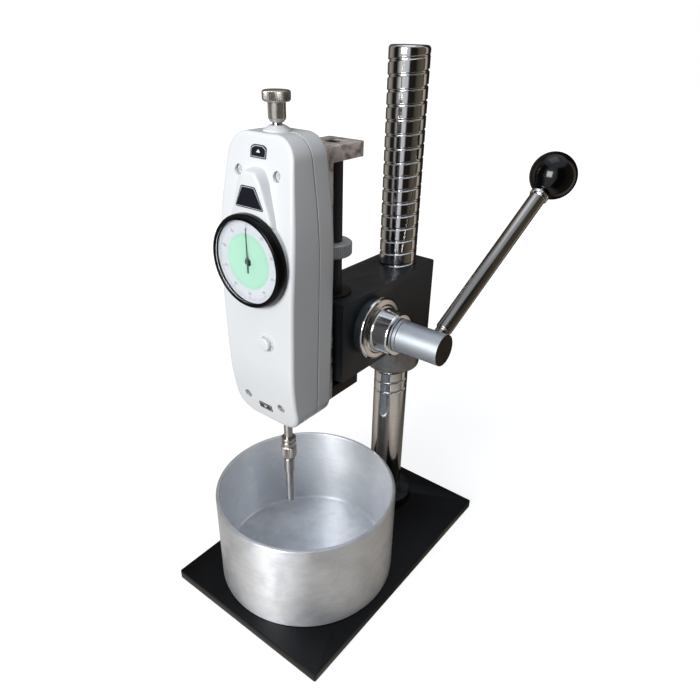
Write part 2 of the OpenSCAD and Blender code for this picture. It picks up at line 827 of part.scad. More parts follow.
module depth_stop_nut() {
    color("#3a3b3e")
    translate([0, rod_y, stop_z])
    difference() {
        knurled_disc(stop_nut_d, stop_nut_h, 36);
        translate([0, 0, -1]) cylinder(d = rod_d + 2 * run_fit, h = stop_nut_h + 2);
    }
}

// Places of the screws that hold the arms to the bracket's plate
module bracket_screw_places() {
    for (x = [-1, 1]) for (z = [bracket_z0 + bracket_t / 2, bracket_z1 - bracket_t / 2])
        translate([x * bracket_w / 3.8, bracket_y0, z]) rotate([-90, 0, 0]) children();
}

// Places of the screws that hold the gauge to the bracket's plate
module mount_screw_places() {
    for (x = [-1, 1]) for (z = [mount_low, mount_high])
        translate([x * mount_x, bracket_y1, z]) rotate([90, 0, 0]) children();
}

module bracket_plate() {
    color("#8f8a83")
    difference() {
        block([-bracket_w / 2, bracket_y0, bracket_z0], [bracket_w / 2, bracket_y1, bracket_z1]);
        bracket_screw_places() {
            translate([0, 0, -1]) cylinder(d = m5_d + 0.4, h = bracket_t + 2);
            translate([0, 0, -1]) cylinder(d = m5_head_d + 0.4, h = m5_head_h + 1.2);
        }
        mount_screw_places() {
            translate([0, 0, -1]) cylinder(d = m5_d + 0.4, h = bracket_t + 2);
            translate([0, 0, -1]) cylinder(d = m5_head_d + 0.4, h = m5_head_h + 1.2);
        }
    }
}

// Arm of the bracket with its underside at z = 0 and the screw's counterbore on top
module bracket_arm() {
    r = 2.5;
    difference() {
        linear_extrude(bracket_t) {
            translate([-bracket_w / 2, bracket_y1])
            square([bracket_w, arm_y1 - bracket_y1 - r]);
            translate([r - bracket_w / 2, bracket_y1])
            square([bracket_w - 2 * r, arm_y1 - bracket_y1]);
            for (x = [-1, 1])
                translate([x * (bracket_w / 2 - r), arm_y1 - r]) circle(r);
        }
        translate([0, rod_y, -1]) cylinder(d = rod_screw_d + 0.4, h = bracket_t + 2);
        translate([0, rod_y, bracket_t - rod_screw_head_h - 0.5])
        cylinder(d = rod_screw_head_d + 1, h = bracket_t);
        for (x = [-1, 1])
            translate([x * bracket_w / 3.8, bracket_y1 - 1, bracket_t / 2]) rotate([-90, 0, 0])
            cylinder(d = m5_d + 2 * screw_fit, h = m5_reach + 2);
    }
}

module bracket_top_arm() {
    color("#97928b")
    translate([0, 0, rod_z1]) bracket_arm();
}

module bracket_bottom_arm() {
    color("#97928b")
    translate([0, 0, bracket_z0 + bracket_t]) mirror([0, 0, 1]) bracket_arm();
}

// Socket head screw: head on z = 0 to head_h, shank beyond it
module socket_screw(d, head_d, head_h, len) {
    difference() {
        union() {
            cylinder(d = head_d, h = head_h);
            cylinder(d = d, h = head_h + len);
        }
        translate([0, 0, -sink]) cylinder(d = d * 0.95, h = head_h * 0.6, $fn = 6);
    }
}

module bracket_screws() {
    color("#2a2a2d")
    bracket_screw_places()
    translate([0, 0, 0.2]) socket_screw(m5_d, m5_head_d, m5_head_h, bracket_t - m5_head_h + m5_reach);
}

module rod_end_screws() {
    color("#1f1f22") {
        translate([0, rod_y, bracket_z1 - 0.5]) rotate([180, 0, 0])
        socket_screw(rod_screw_d, rod_screw_head_d, rod_screw_head_h,
            bracket_t - rod_screw_head_h + tap_depth - 3);
        translate([0, rod_y, bracket_z0 + 0.5])
        socket_screw(rod_screw_d, rod_screw_head_d, rod_screw_head_h,
            bracket_t - rod_screw_head_h + tap_depth - 3);
    }
}

module gauge_mount_plate() {
    color("#34353a")
    difference() {
        block([-mount_plate_w / 2, gauge_rear, mount_low - 20],
            [mount_plate_w / 2, bracket_y0, mount_high + 20]);
        mount_screw_places() cylinder(d = m5_d + 0.4, h = 40);
    }
}

module gauge_mount_screws() {
    color("#2a2a2d")
    mount_screw_places()
    translate([0, 0, 0.2])
    socket_screw(m5_d, m5_head_d, m5_head_h, bracket_y1 - frame_y0 - m5_head_h - 1);
}

// Gauge body

// Through hole for the plunger and the stem, from foot to top
module plunger_way() {
    translate([0, gauge_y, gauge_z0 - 1]) cylinder(d = plunger_d + 2, h = 20);
    translate([0, gauge_y, gauge_z1 - 12]) cylinder(d = collar_sleeve_d + 2 * screw_fit, h = 20);
}

// Places of the four case screws on the seam, pointing towards the dial
module case_screw_places() {
    for (x = [-screw_x, screw_x]) for (z = [screw_low, screw_high])
        translate([x, gauge_y, z]) rotate([90, 0, 0]) children();
}

module rear_cover() {
    color("#dfe2e4")
    difference() {
        union() {
            difference() {
                translate([0, gauge_y, gauge_z0]) cover_blank(rear_depth, false);
                translate([0, gauge_rear - cover_wall, gauge_z0]) rotate([90, 0, 0])
                linear_extrude(rear_depth) polygon(gauge_outline(cover_wall));
            }
            case_screw_places() translate([0, 0, -rear_depth + 1]) cylinder(d = 8, h = rear_depth - 1);
        }
        case_screw_places() translate([0, 0, -9]) cylinder(d = case_screw_d + 2 * screw_fit, h = 20);
        mount_screw_places() cylinder(d = m5_d + 0.6, h = 40);
        plunger_way();
    }
}

module front_cover() {
    color("#e6e9ea")
    difference() {
        union() {
            difference() {
                translate([0, gauge_y, gauge_z0]) mirror([0, 1, 0]) cover_blank(front_depth, true);
                translate([0, gauge_y + sink, gauge_z0]) rotate([90, 0, 0])
                linear_extrude(front_depth - cavity_back) polygon(gauge_outline(cover_wall));
                block([-cavity_half, gauge_front + cavity_front, gauge_z0 + 34],
                    [cavity_half, gauge_y, gauge_z1 - 38]);
            }
            case_screw_places() cylinder(d = 8, h = front_depth - cavity_back + 2);
            front_pin(0, gauge_front + boss_root, dial_z, boss_d, boss_t + boss_root);
            keystone();
        }
        front_pin(0, boss_y + 3.3, dial_z, skirt_d + 2 * run_fit, 10);
        front_pin(0, gauge_y, dial_z, 8, front_depth + boss_t);
        front_pin(button_x, gauge_y, button_z, button_d + 2 * run_fit, front_depth + 1);
        front_pin(button_x, gauge_front + 1, button_z, button_ring_d + 2 * screw_fit, 2);
        case_screw_places() translate([0, 0, -1]) {
            cylinder(d = case_screw_d + 0.4, h = front_depth);
            translate([0, 0, case_head_y]) cylinder(d = case_head_d + 0.6, h = front_depth);
        }
        plunger_way();
    }
}

// Raised keystone that stays upright while the face falls back, from below the top plate to the dial
module keystone() {
    hull() {
        keystone_layer(1, gauge_front + key_root, 0);
        keystone_layer(0.2, key_y + 0.2, 2.2);
    }
}

// One flat layer of the keystone with its front at y - t, drawn in by inset
module keystone_layer(t, y, inset) {
    translate([0, y, gauge_z0]) rotate([90, 0, 0])
    linear_extrude(t)
    polygon([for (s = [1, -1]) for (p = s == 1 ? keystone_side : keystone_back)
        [s * (p[0] - inset), min(p[1], keystone_top - inset)]]);
}

module cover_screws() {
    color("#8d9094")
    case_screw_places()
    difference() {
        union() {
            translate([0, 0, -8]) cylinder(d = case_screw_d, h = case_head_y + 8);
            translate([0, 0, case_head_y - 1]) cylinder(d = case_head_d, h = 1.8);
        }
        for (a = [0, 90]) rotate([0, 0, a])
            translate([-1.6, -0.35, case_head_y]) cube([3.2, 0.7, 2]);
    }
}

module gauge_frame() {
    color("#7f838a")
    difference() {
        union() {
            block([-11, frame_y0, gauge_z0 + 4], [11, frame_y1, gauge_z1 - 5]);
            block([-22, frame_y0, dial_z - 24], [22, frame_y1, dial_z + 24]);
            block([-9, gauge_y - 8, gauge_z0 + 4], [9, frame_y1, gauge_z0 + 10]);
            block([-9, gauge_y - 8, spring_z1], [9, frame_y1, spring_z1 + 6]);
            for (x = [-9, 9]) front_pin(x, frame_y0, button_z + button_post_z, 4, frame_y0 - seat_y0 + 1);
            block([-11, seat_y0 - seat_t, button_z + button_post_z - 3],
                [button_x + 4.5, seat_y0, button_z + 4.5]);
        }
        translate([0, gauge_y, gauge_z0]) cylinder(d = plunger_d + 2 * run_fit, h = 20);
        translate([0, gauge_y, spring_z1 - 1]) cylinder(d = stem_d + 2 * run_fit, h = 20);
        front_pin(button_x, seat_y0 + 1, button_z, button_stem_d + 2 * run_fit, seat_t + 2);
        mount_screw_places() cylinder(d = m5_d + 2 * screw_fit, h = 40);
    }
}

module movement_bridge() {
    color("#b9975b")
    difference() {
        union() {
            for (x = [-12, 12]) for (z = [dial_z - 7, dial_z + 4])
                front_pin(x, frame_y0, z, 3.4, frame_y0 - bridge_front + 1);
            block([-14, bridge_rear - 1, dial_z - 10], [14, bridge_rear, dial_z + 6.5]);
            block([-14, bridge_front - 1, dial_z - 10], [14, bridge_front, dial_z + 6.5]);
        }
        front_pin(0, gauge_y, dial_z, arbor_d + 0.1, 30);
    }
}

module label_plate() {
    color("#1f2026")
    translate([0, key_y - sink, gauge_z0]) rotate([90, 0, 0])
    linear_extrude(0.5)
    polygon([[-5.6, label_top], [5.6, label_top], [11.6, label_foot], [-11.6, label_foot]]);
}

module direction_plates() {
    color("#1f2026") {
        plate_on_crown(top_plate_h)
        polygon([[-6.3, -3.7], [6.3, -3.7], [6.3, 2.2], [3.7, 3.7], [-3.7, 3.7], [-6.3, 2.2]]);
        plate_on_crown(foot_plate_h) square([12, 5.4], center = true);
    }
}

// Thin plate laid on the front cover at height z above its foot, leaning with the face
module plate_on_crown(z) {
    translate([0, gauge_front + crown(z) - 2 * sink, gauge_z0 + z])
    rotate([90 - atan(crown_slope(z)), 0, 0])
    linear_extrude(0.5) children();
}

module top_collar() {
    color("#e6e9ea")
    translate([0, gauge_y, gauge_z1])
    difference() {
        union() {
            cylinder(d1 = 17, d2 = collar_sleeve_d, h = 3);
            translate([0, 0, -6]) cylinder(d = collar_sleeve_d, h = 7);
        }
        translate([0, 0, -7]) cylinder(d = stem_d + 0.8, h = 20);
    }
}

module button_ring() {
    color("#9a9da1")
    difference() {
        front_pin(button_x, gauge_front + 1, button_z, button_ring_d, 1.6);
        front_pin(button_x, gauge_front + 2, button_z, button_d + 0.6, 5);
    }
}

module hold_button() {
    color("#eceeef")
    union() {
        front_pin(button_x, button_back, button_z, button_d, button_back - gauge_front + 3.5);
        front_pin(button_x, button_back, button_z, button_d + 3,
            button_back - gauge_front - cavity_front - face_gap);
        front_pin(button_x, seat_y0 - 0.5, button_z, button_stem_d, seat_y0 - button_back);
    }
}

module button_spring() {
    color("#a3a6aa")
    difference() {
        front_pin(button_x, seat_y0 - seat_t, button_z, 8,
            seat_y0 - seat_t - button_back - button_travel - face_gap);
        front_pin(button_x, seat_y0, button_z, button_stem_d + 1, 20);
    }
}

// Bezel, dial and pointer; a is the distance in front of the cover's boss

module at_dial(a) {
    translate([0, boss_y - a, dial_z]) rotate([90, 0, 0]) children();
}

module bezel() {
    r = bezel_d / 2;
    rd = dial_d / 2;
    front = boss_y - bezel_y0;
    color("#141416")
    at_dial(0)
    rotate_extrude()
    polygon([[rd - 1, -2.8], [skirt_d / 2, -2.8], [skirt_d / 2, face_gap], [r, face_gap],
        [r, front - 2], [r - 1, front - 0.6], [r - 2.4, front], [rd, front], [rd, front - 1],
        [rd + 1.5, front - 1], [rd + 1.5, dial_seat], [rd - 1, dial_seat]]);
}

module dial_face() {
    color("#eef2f6")
    at_dial(dial_seat)
    difference() {
        cylinder(d = dial_d + 2.8, h = 0.8);
        translate([0, 0, -1]) cylinder(d = 5, h = 3);
    }
}

module dial_glass() {
    color([0.85, 0.92, 0.95, 0.35])
    at_dial(boss_y - bezel_y0 - 2.4)
    cylinder(d = dial_d + 2.8, h = 1.4);
}

module pointer() {
    color("#17171a")
    at_dial(dial_seat + 1.2)
    difference() {
        union() {
            cylinder(d = 6, h = 1);
            linear_extrude(0.4)
            polygon([[-0.5, -7], [0.5, -7], [0.5, 4], [0.15, 20.5], [-0.15, 20.5], [-0.5, 4]]);
        }
        translate([0, 0, -1]) cylinder(d = arbor_d + 2 * screw_fit, h = 5);
    }
}

module pointer_arbor() {
    color("#8e9196")
    union() {
        front_pin(0, bridge_rear, dial_z, arbor_d, bridge_rear - (boss_y - dial_seat - 2));
        translate([0, bridge_rear - 1.2, dial_z]) rotate([90, 0, 0])
        spur_gear(pointer_module, pointer_teeth, 2.4, 0.06);
    }
}

// Plunger train

module plunger() {
    color("#c3c6ca")
    translate([0, gauge_y, 0]) {
        translate([0, 0, chuck_z1 - 5]) cylinder(d = plunger_d, h = cross_z - chuck_z1 + 5);
        translate([0, 0, cross_z - 1]) cylinder(d = stem_d, h = top_nut_z + 8.5 - cross_z + 1);
    }
}

module crosshead() {
    rack_step = PI * pointer_module;
    count = ceil((plunger_travel + 4) / rack_step);
    color("#9a9ea4")
    difference() {
        union() {
            block([-8.5, gauge_y - 8.5, cross_z], [8.5, gauge_y + 6, cross_z + cross_h]);
            block([-pointer_pitch_r - 3, bridge_rear - 4, dial_z - plunger_travel - 3],
                [-pointer_pitch_r + pointer_module * 0.8, bridge_rear - 1.3, cross_z + 1]);
        }
        translate([0, gauge_y, cross_z - 1]) cylinder(d = stem_d + 2 * screw_fit, h = cross_h + 2);
        for (k = [-count:3])
            translate([-pointer_pitch_r, bridge_rear - 5, dial_z + k * rack_step]) rotate([0, -90, -90])
            linear_extrude(5) rack_gap(pointer_module, 0.06);
    }
}

module load_spring() {
    color("#a3a6aa")
    translate([0, gauge_y, cross_z + cross_h])
    difference() {
        cylinder(d = 13, h = spring_z1 - cross_z - cross_h);
        translate([0, 0, -1]) cylinder(d = stem_d + 2, h = spring_z1 - cross_z);
    }
}

module top_hand_nut() {
    color("#c8c3bc")
    translate([0, gauge_y, top_nut_z])
    difference() {
        union() {
            translate([0, 0, 11]) mirror([0, 0, 1])
            rotate_extrude() rounded_profile(5.2, 11, 2.5);
            translate([0, 0, 11]) knurled_disc(16.5, 6, 30);
        }
        translate([0, 0, -1]) cylinder(d = stem_d + 2 * run_fit, h = 10);
    }
}

// Chuck and needle

module chuck_body() {
    color("#b9b6b0")
    translate([0, gauge_y, 0])
    difference() {
        union() {
            translate([0, 0, chuck_z0]) cylinder(d = 10.8, h = chuck_ring_h);
            translate([0, 0, holder_z1]) cylinder(d = 7, h = chuck_z0 - holder_z1 + 1);
        }
        translate([0, 0, chuck_z1 - 5.2]) cylinder(d = plunger_d + 2 * screw_fit, h = 10);
        translate([0, 0, holder_z1 - 1]) cylinder(d = shank_d + 2 * screw_fit, h = 12);
    }
}

module chuck_nut() {
    color("#a8a49c")
    translate([0, gauge_y, nut_z0])
    difference() {
        knurled_disc(11.8, chuck_nut_h - face_gap, 18);
        translate([0, 0, -1]) cylinder(d = 7 + 2 * run_fit, h = chuck_nut_h + 2);
    }
}

module needle_holder() {
    color("#c3c6ca")
    translate([0, gauge_y, holder_z0])
    difference() {
        union() {
            cylinder(d = 8, h = holder_len);
            cylinder(d = shank_d, h = holder_len + 10);
        }
        translate([0, 0, -1]) cylinder(d = shank_d + 2 * screw_fit, h = 9);
    }
}

module needle() {
    color("#c9ccd0")
    translate([0, gauge_y, needle_z0]) {
        cylinder(d = needle_d, h = needle_len);
        cylinder(d = shank_d, h = needle_len + 7.5);
    }
}

base_plate();
column_flange();
column();
column_bolt();
pot();
head_block();
rod_bush_upper();
rod_bush_lower();
shaft_housing();
shaft_bush();
shaft_end_cap();
lock_screw();
lock_pad();
height_nut();
groove_pin();
pinion_shaft();
hub();
hub_set_screw();
lever_rod();
lever_nut();
lever_ball();
rack_rod();
depth_stop_nut();
bracket_plate();
bracket_top_arm();
bracket_bottom_arm();
bracket_screws();
rod_end_screws();
gauge_mount_plate();
gauge_mount_screws();
rear_cover();
front_cover();
cover_screws();
gauge_frame();
movement_bridge();
label_plate();
direction_plates();
top_collar();
button_ring();
hold_button();
button_spring();
bezel();
dial_face();
dial_glass();
pointer();
pointer_arbor();
plunger();
crosshead();
load_spring();
top_hand_nut();
chuck_body();
chuck_nut();
needle_holder();
needle();
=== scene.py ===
import math

import bmesh
import bpy
import numpy as np
from mathutils import Matrix, Vector


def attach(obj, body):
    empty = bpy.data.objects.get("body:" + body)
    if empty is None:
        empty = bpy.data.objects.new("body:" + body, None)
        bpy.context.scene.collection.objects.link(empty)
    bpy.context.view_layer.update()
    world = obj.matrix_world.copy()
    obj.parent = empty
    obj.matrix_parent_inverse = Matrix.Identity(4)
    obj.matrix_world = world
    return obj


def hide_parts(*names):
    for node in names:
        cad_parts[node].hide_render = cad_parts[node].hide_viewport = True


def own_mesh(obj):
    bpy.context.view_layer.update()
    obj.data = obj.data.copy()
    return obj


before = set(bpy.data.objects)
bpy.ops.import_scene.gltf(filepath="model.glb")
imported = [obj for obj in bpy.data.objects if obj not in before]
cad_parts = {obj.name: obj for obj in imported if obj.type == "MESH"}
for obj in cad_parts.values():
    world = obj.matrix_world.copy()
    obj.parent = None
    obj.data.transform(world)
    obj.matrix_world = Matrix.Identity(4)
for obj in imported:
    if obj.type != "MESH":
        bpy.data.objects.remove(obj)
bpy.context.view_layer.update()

# ---- Camera
# A phone camera held in front of the stand, to the operator's right and above the dial, looking down.
# Its place, direction and focal length come from a fit to the object's corners, rims and axes.
EYE = (257.114, -320.348, 419.065)
YAW, PITCH, ROLL = 37.143, 27.969, 1.382
FOCAL_PX, CENTRE_PX, FRAME_PX = 601.974, (353.24, 348.08), 700
SENSOR = 36


def mm(*values):
    """Millimetres to metres, one number or several."""
    return values[0] / 1000 if len(values) == 1 else tuple(v / 1000 for v in values)


def placed(name, data):
    """New object with this data, in the scene."""
    made = bpy.data.objects.new(name, data)
    bpy.context.scene.collection.objects.link(made)
    return made


yaw, pitch, roll = map(math.radians, (YAW, PITCH, ROLL))
ahead = Vector((-math.sin(yaw) * math.cos(pitch), math.cos(yaw) * math.cos(pitch), -math.sin(pitch)))
level = ahead.cross(Vector((0, 0, 1))).normalized()
upward = level.cross(ahead)
right = math.cos(roll) * level + math.sin(roll) * upward
top = -math.sin(roll) * level + math.cos(roll) * upward
optics = bpy.data.cameras.new("photo_camera")
optics.sensor_width = SENSOR
optics.lens = SENSOR * FOCAL_PX / FRAME_PX
optics.shift_x = (FRAME_PX / 2 - CENTRE_PX[0]) / FRAME_PX
optics.shift_y = (CENTRE_PX[1] - FRAME_PX / 2) / FRAME_PX
optics.clip_start = 0.01
camera = placed("photo_camera", optics)
camera.matrix_world = Matrix.Translation(mm(*EYE)) @ Matrix((right, top, -ahead)).transposed().to_4x4()
bpy.context.scene.camera = camera

# ---- Room, floor and lamps
# A plain pale table top under soft light: a wide window lamp in front of the dial and a weak panel overhead. Bare
# metal mirrors the room, which is dim and warm away from the window.
WHITE, WINDOW, WALL, TIMBER, CURTAIN = "#FFFFFF", "#F4F8FF", "#2A2522", "#6E6455", "#D8CABD"
# What metal sees round it, by compass angle: 0 and 1 lie to the left, 0.25 in front, 0.5 to the right
ROOM_STOPS = [(0, "#C4C0BA"), (0.06, "#A8A49E"), (0.1, WALL), (0.16, WALL), (0.225, WHITE), (0.34, WINDOW),
    (0.36, WALL), (0.45, WALL), (0.48, "#5C564A"), (0.58, "#7A7362"), (0.6, WALL), (0.62, CURTAIN),
    (0.65, CURTAIN), (0.68, WALL), (0.8, "#3A3530"), (0.86, TIMBER), (0.96, TIMBER), (1, "#C4C0BA")]
FLOOR_HALF, FLOOR_DROP = 6.0, 0.0001


def rgb(code):
    """sRGB hex to linear colour with alpha 1."""
    parts = [int(code[i:i + 2], 16) / 255 for i in (1, 3, 5)]
    return (*[c / 12.92 if c <= 0.04045 else ((c + 0.055) / 1.055) ** 2.4 for c in parts], 1.0)


def add(tree, kind, values=None, links=None, stops=None, **settings):
    """Adds a node with its settings, input values, links and, on a ramp, colour stops.

    A colour is a hex string; a link comes from a socket, or from a node's first output.
    """
    made = tree.nodes.new(kind)
    for name, value in settings.items():
        setattr(made, name, value)
    for key, value in (values or {}).items():
        made.inputs[key].default_value = rgb(value) if isinstance(value, str) else value
    for key, source in (links or {}).items():
        tree.links.new(getattr(source, "outputs", [source])[0], made.inputs[key])
    if stops:
        elements = made.color_ramp.elements
        while len(elements) < len(stops):
            elements.new(0.5)
        for element, (place, colour) in zip(elements, stops):
            element.position, element.color = place, rgb(colour)
    return made


def compass(tree, point):
    """Compass angle of a point round the z axis, as a number from 0 to 1."""
    parts = add(tree, "ShaderNodeSeparateXYZ", links={0: point})
    angle = add(tree, "ShaderNodeMath", links={0: parts.outputs[1], 1: parts.outputs[0]}, operation="ARCTAN2")
    return add(tree, "ShaderNodeMapRange", {1: -math.pi, 2: math.pi}, {0: angle})


def ray_kinds(tree):
    """The node with all kinds of ray, and 1 for those that the camera sends, straight or through glass."""
    rays = add(tree, "ShaderNodeLightPath")
    sent = {0: rays.outputs["Is Camera Ray"], 1: rays.outputs["Is Transmission Ray"]}
    return rays, add(tree, "ShaderNodeMath", links=sent, operation="MAXIMUM")


world = bpy.data.worlds.new("room")
bpy.context.scene.world = world
world.use_nodes = True
tree = world.node_tree
tree.nodes.clear()
_, seen = ray_kinds(tree)
toward = add(tree, "ShaderNodeTexCoord").outputs["Generated"]
round_room = add(tree, "ShaderNodeValToRGB", links={0: compass(tree, toward)}, stops=ROOM_STOPS)
upright = add(tree, "ShaderNodeSeparateXYZ", links={0: toward})
height = add(tree, "ShaderNodeMapRange", {1: 0.7, 2: 0.8}, {0: upright.outputs[2]})
ceiling = add(tree, "ShaderNodeMix", {7: "#E6F0FF"}, {0: height, 6: round_room}, data_type="RGBA")
shown = add(tree, "ShaderNodeMix", {7: WHITE}, {0: seen, 6: ceiling.outputs[2]}, data_type="RGBA")
strength = add(tree, "ShaderNodeMapRange", {3: 0.75}, {0: seen})
sky = add(tree, "ShaderNodeBackground", links={0: shown.outputs[2], 1: strength})
add(tree, "ShaderNodeOutputWorld", links={0: sky})

floor_mesh = bpy.data.meshes.new("floor")
floor_mesh.from_pydata([(x * FLOOR_HALF, y * FLOOR_HALF, -FLOOR_DROP) for x, y in ((-1, -1), (1, -1), (1, 1), (-1, 1))],
    [], [(0, 1, 2, 3)])
floor = placed("floor", floor_mesh)
paper = bpy.data.materials.new("matte_white_paper")
paper.use_nodes = True
tree = paper.node_tree
tree.nodes.clear()
rays, seen = ray_kinds(tree)
spot = add(tree, "ShaderNodeTexCoord").outputs["Object"]
bearing = compass(tree, spot)
distance = add(tree, "ShaderNodeVectorMath", links={0: spot}, operation="LENGTH").outputs["Value"]
# The camera sees white that keeps the object's shadow
shaded = add(tree, "ShaderNodeBsdfDiffuse", {0: "#9A9A9A"})
away = add(tree, "ShaderNodeMapRange", {1: 0.25, 2: 1.1, 3: 0.8}, {0: distance})
glow = add(tree, "ShaderNodeEmission", {0: WHITE}, {1: away})
lifted = add(tree, "ShaderNodeAddShader", links={0: shaded, 1: glow})
# Other light meets plain grey. Metal mirrors a painted pool of light on the floor near the stand, with a painted shadow
# behind it and to its right, and the room beyond it
matte = add(tree, "ShaderNodeBsdfDiffuse", {0: "#6E6F71"})
plain = add(tree, "ShaderNodeMixShader", links={0: seen, 1: matte, 2: lifted})
# Painted light: as metal sees it, the floor glows brighter from 7 to 33 cm off the stand
painted_light_near_stand = add(tree, "ShaderNodeValToRGB", links={0: distance},
    stops=[(0.07, "#000000"), (0.13, WHITE), (0.2, WHITE), (0.33, "#000000")])
# Painted shadow: that glow is darker behind the stand and to its right
shade = add(tree, "ShaderNodeValToRGB", links={0: bearing},
    stops=[(0.0, WHITE), (0.54, WHITE), (0.66, "#808080"), (0.88, "#808080"), (1.0, WHITE)])
apron_with_painted_shadow = add(tree, "ShaderNodeMix", {0: 1.0, 7: "#DED5CA"}, {6: shade}, data_type="RGBA", blend_type="MULTIPLY")
beyond = add(tree, "ShaderNodeValToRGB", links={0: bearing}, stops=ROOM_STOPS)
apron = add(tree, "ShaderNodeMix", links={0: painted_light_near_stand, 6: beyond, 7: apron_with_painted_shadow.outputs[2]}, data_type="RGBA")
mirrored = add(tree, "ShaderNodeEmission", {1: 0.8}, {0: apron.outputs[2]})
table_top = add(tree, "ShaderNodeMixShader", links={0: rays.outputs["Is Glossy Ray"], 1: plain, 2: mirrored})
add(tree, "ShaderNodeOutputMaterial", links={0: table_top})
floor_mesh.materials.append(paper)

for name, spot, aim, size, watts in (("window_lamp", (0.1, -2.2, 1.0), (0, -0.05, 0.22), 1.1, 53),
        ("ceiling_lamp", (-0.1, 0.1, 1.7), (0, 0, 0.1), 0.8, 2)):
    lamp = bpy.data.lights.new(name, "AREA")
    lamp.size, lamp.energy = size, watts
    placed(name, lamp).matrix_world = (
        Matrix.Translation(spot) @ (Vector(spot) - Vector(aim)).to_track_quat("Z", "Y").to_matrix().to_4x4())
bpy.context.scene.view_settings.view_transform = "Standard"

# ---- Base plate
# Flat steel plate, sawn and milled, with its edges broken by a file. The column's bolt is sunk in from below, so
# the plate stands flat on the bench.


def finish_of(name, colour, metallic, roughness, **sockets):
    """New material with its tree, shader and object coordinates; sockets are set by name."""
    made = bpy.data.materials.new(name)
    made.use_nodes = True
    tree, shader = made.node_tree, made.node_tree.nodes["Principled BSDF"]
    for socket, value in {"Base_Color": rgb(colour), "Metallic": metallic, "Roughness": roughness, **sockets}.items():
        shader.inputs[socket.replace("_", " ")].default_value = value
    if "Anisotropic" in sockets:
        # Turning lines run round the piece's own upright axis and spread the highlight up and down it
        round_axis = add(tree, "ShaderNodeTangent", direction_type="RADIAL", axis="Z")
        tree.links.new(round_axis.outputs[0], shader.inputs["Tangent"])
    return made, tree, shader, add(tree, "ShaderNodeTexCoord").outputs["Object"]


def per_mm(size):
    """Texture scale for a pattern with this spacing in millimetres."""
    return 1000 / size


def bump(shader, source, depth_mm, strength=1.0):
    """Links a height pattern of the given depth to the shader's normal."""
    tree = shader.id_data
    relief = add(tree, "ShaderNodeBump", {"Strength": strength, "Distance": mm(depth_mm)}, {"Height": source})
    tree.links.new(relief.outputs[0], shader.inputs["Normal"])


def vary(shader, socket, source, low, high):
    """Drives a socket with a pattern, from low to high: two numbers, or two hex colours."""
    tree, colours = shader.id_data, isinstance(low, str)
    if colours:
        spread = add(tree, "ShaderNodeMix", {6: low, 7: high}, {0: source}, data_type="RGBA")
    else:
        spread = add(tree, "ShaderNodeMapRange", {1: 0.3, 2: 0.7, 3: low, 4: high}, {0: source},
            interpolation_type="SMOOTHSTEP")
    tree.links.new(spread.outputs[2 if colours else 0], shader.inputs[socket])


def mottled(name, colours, metallic, roughness, grain, relief=None, fine=None, **sockets):
    """Finish with a noise pattern behind its colours, roughness and relief.

    roughness is a pair or one number; grain is the pattern's spacing in mm, its detail and any more inputs;
    relief is its depth in mm and its strength; fine is a grain of the relief's own.
    """
    even = not isinstance(roughness, tuple)
    made, tree, shader, at = finish_of(name, colours[0], metallic, roughness if even else roughness[0], **sockets)
    noises = [add(tree, "ShaderNodeTexNoise", {"Scale": per_mm(size), "Detail": detail, **dict(more)}, {"Vector": at})
        for size, detail, *more in filter(None, (grain, fine))]
    vary(shader, "Base Color", noises[0], *colours)
    if not even:
        vary(shader, "Roughness", noises[0], *roughness)
    if relief:
        bump(shader, noises[-1], *relief)
    return made


def smoothed(mesh, angle):
    """Smooth shading with sharp edges above the angle."""
    mesh.shade_smooth()
    mesh.set_sharp_from_angle(angle=math.radians(angle))
    return mesh


def finished(bm, name, angle=35, outward=True):
    """Turns a bmesh into a smooth mesh whose faces look outward."""
    if outward:
        bmesh.ops.recalc_face_normals(bm, faces=bm.faces)
    mesh = bpy.data.meshes.new(name)
    bm.to_mesh(mesh)
    bm.free()
    return smoothed(mesh, angle)


def piece(name, mesh, material, body, slot, *nodes):
    """Puts a mesh in the scene as a piece that rides on a body and stands for the CAD nodes."""
    made = placed(name, mesh)
    mesh.materials.clear()
    mesh.materials.append(material)
    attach(made, body)
    if nodes:
        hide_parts(*nodes)
    return made


def eased(node, edge_mm, material, body, slot):
    """The CAD node's form with its sharp edges broken by a small round, as after filing or painting."""
    bm = bmesh.new()
    bm.from_mesh(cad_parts[node].data)
    bmesh.ops.remove_doubles(bm, verts=bm.verts, dist=1e-6)
    bmesh.ops.dissolve_limit(bm, angle_limit=math.radians(0.5), verts=bm.verts, edges=bm.edges)
    sharp = [e for e in bm.edges if len(e.link_faces) == 2 and e.calc_face_angle(0) > math.radians(40)]
    bmesh.ops.bevel(bm, geom=sharp, offset=mm(edge_mm), offset_type="OFFSET", segments=3, profile=0.5,
        affect="EDGES", clamp_overlap=True)
    piece(node + "_eased", finished(bm, node + "_eased", outward=False), material, body, slot, node)


# Black enamel brushed on steel: near-black satin with a fine orange peel and paler smears of dust and oil
black_enamel = mottled("black_enamel_brushed_on_steel", ("#030406", "#0A0C0F"), 0, (0.24, 0.36),
    (45, 5, ("Distortion", 0.6)), (0.02, 0.35), (1.6, 3), Specular_IOR_Level=0.24)
eased("base_plate", 0.6, black_enamel, "stand", "base_black")

# ---- Column with its foot ring and bolt
# Steel bar of 30 mm, ground and hard-chromed. A round-bottomed groove of 10 mm pitch is turned round it from
# the top down to the lower third; the collar nut's pin climbs in it. The foot is a loose black oxide ring.
COLUMN = {"y": 76.5, "r": 15, "foot": 8, "top": 410, "edge": 2.5}
GROOVE = {"first": 126, "turns": 28, "pitch": 10, "width": 2.6, "depth": 0.9, "start": 90}
# The groove's section: how far along its width, and how much of its depth is cut there
GROOVE_ROWS = [(-0.56, 0), (-0.5, 0), (-0.42, 0.25), (-0.3, 0.8), (-0.12, 1), (0.12, 1), (0.3, 0.8),
    (0.42, 0.25), (0.5, 0), (0.56, 0)]
FACETS, EDGE_STEPS = 96, 6


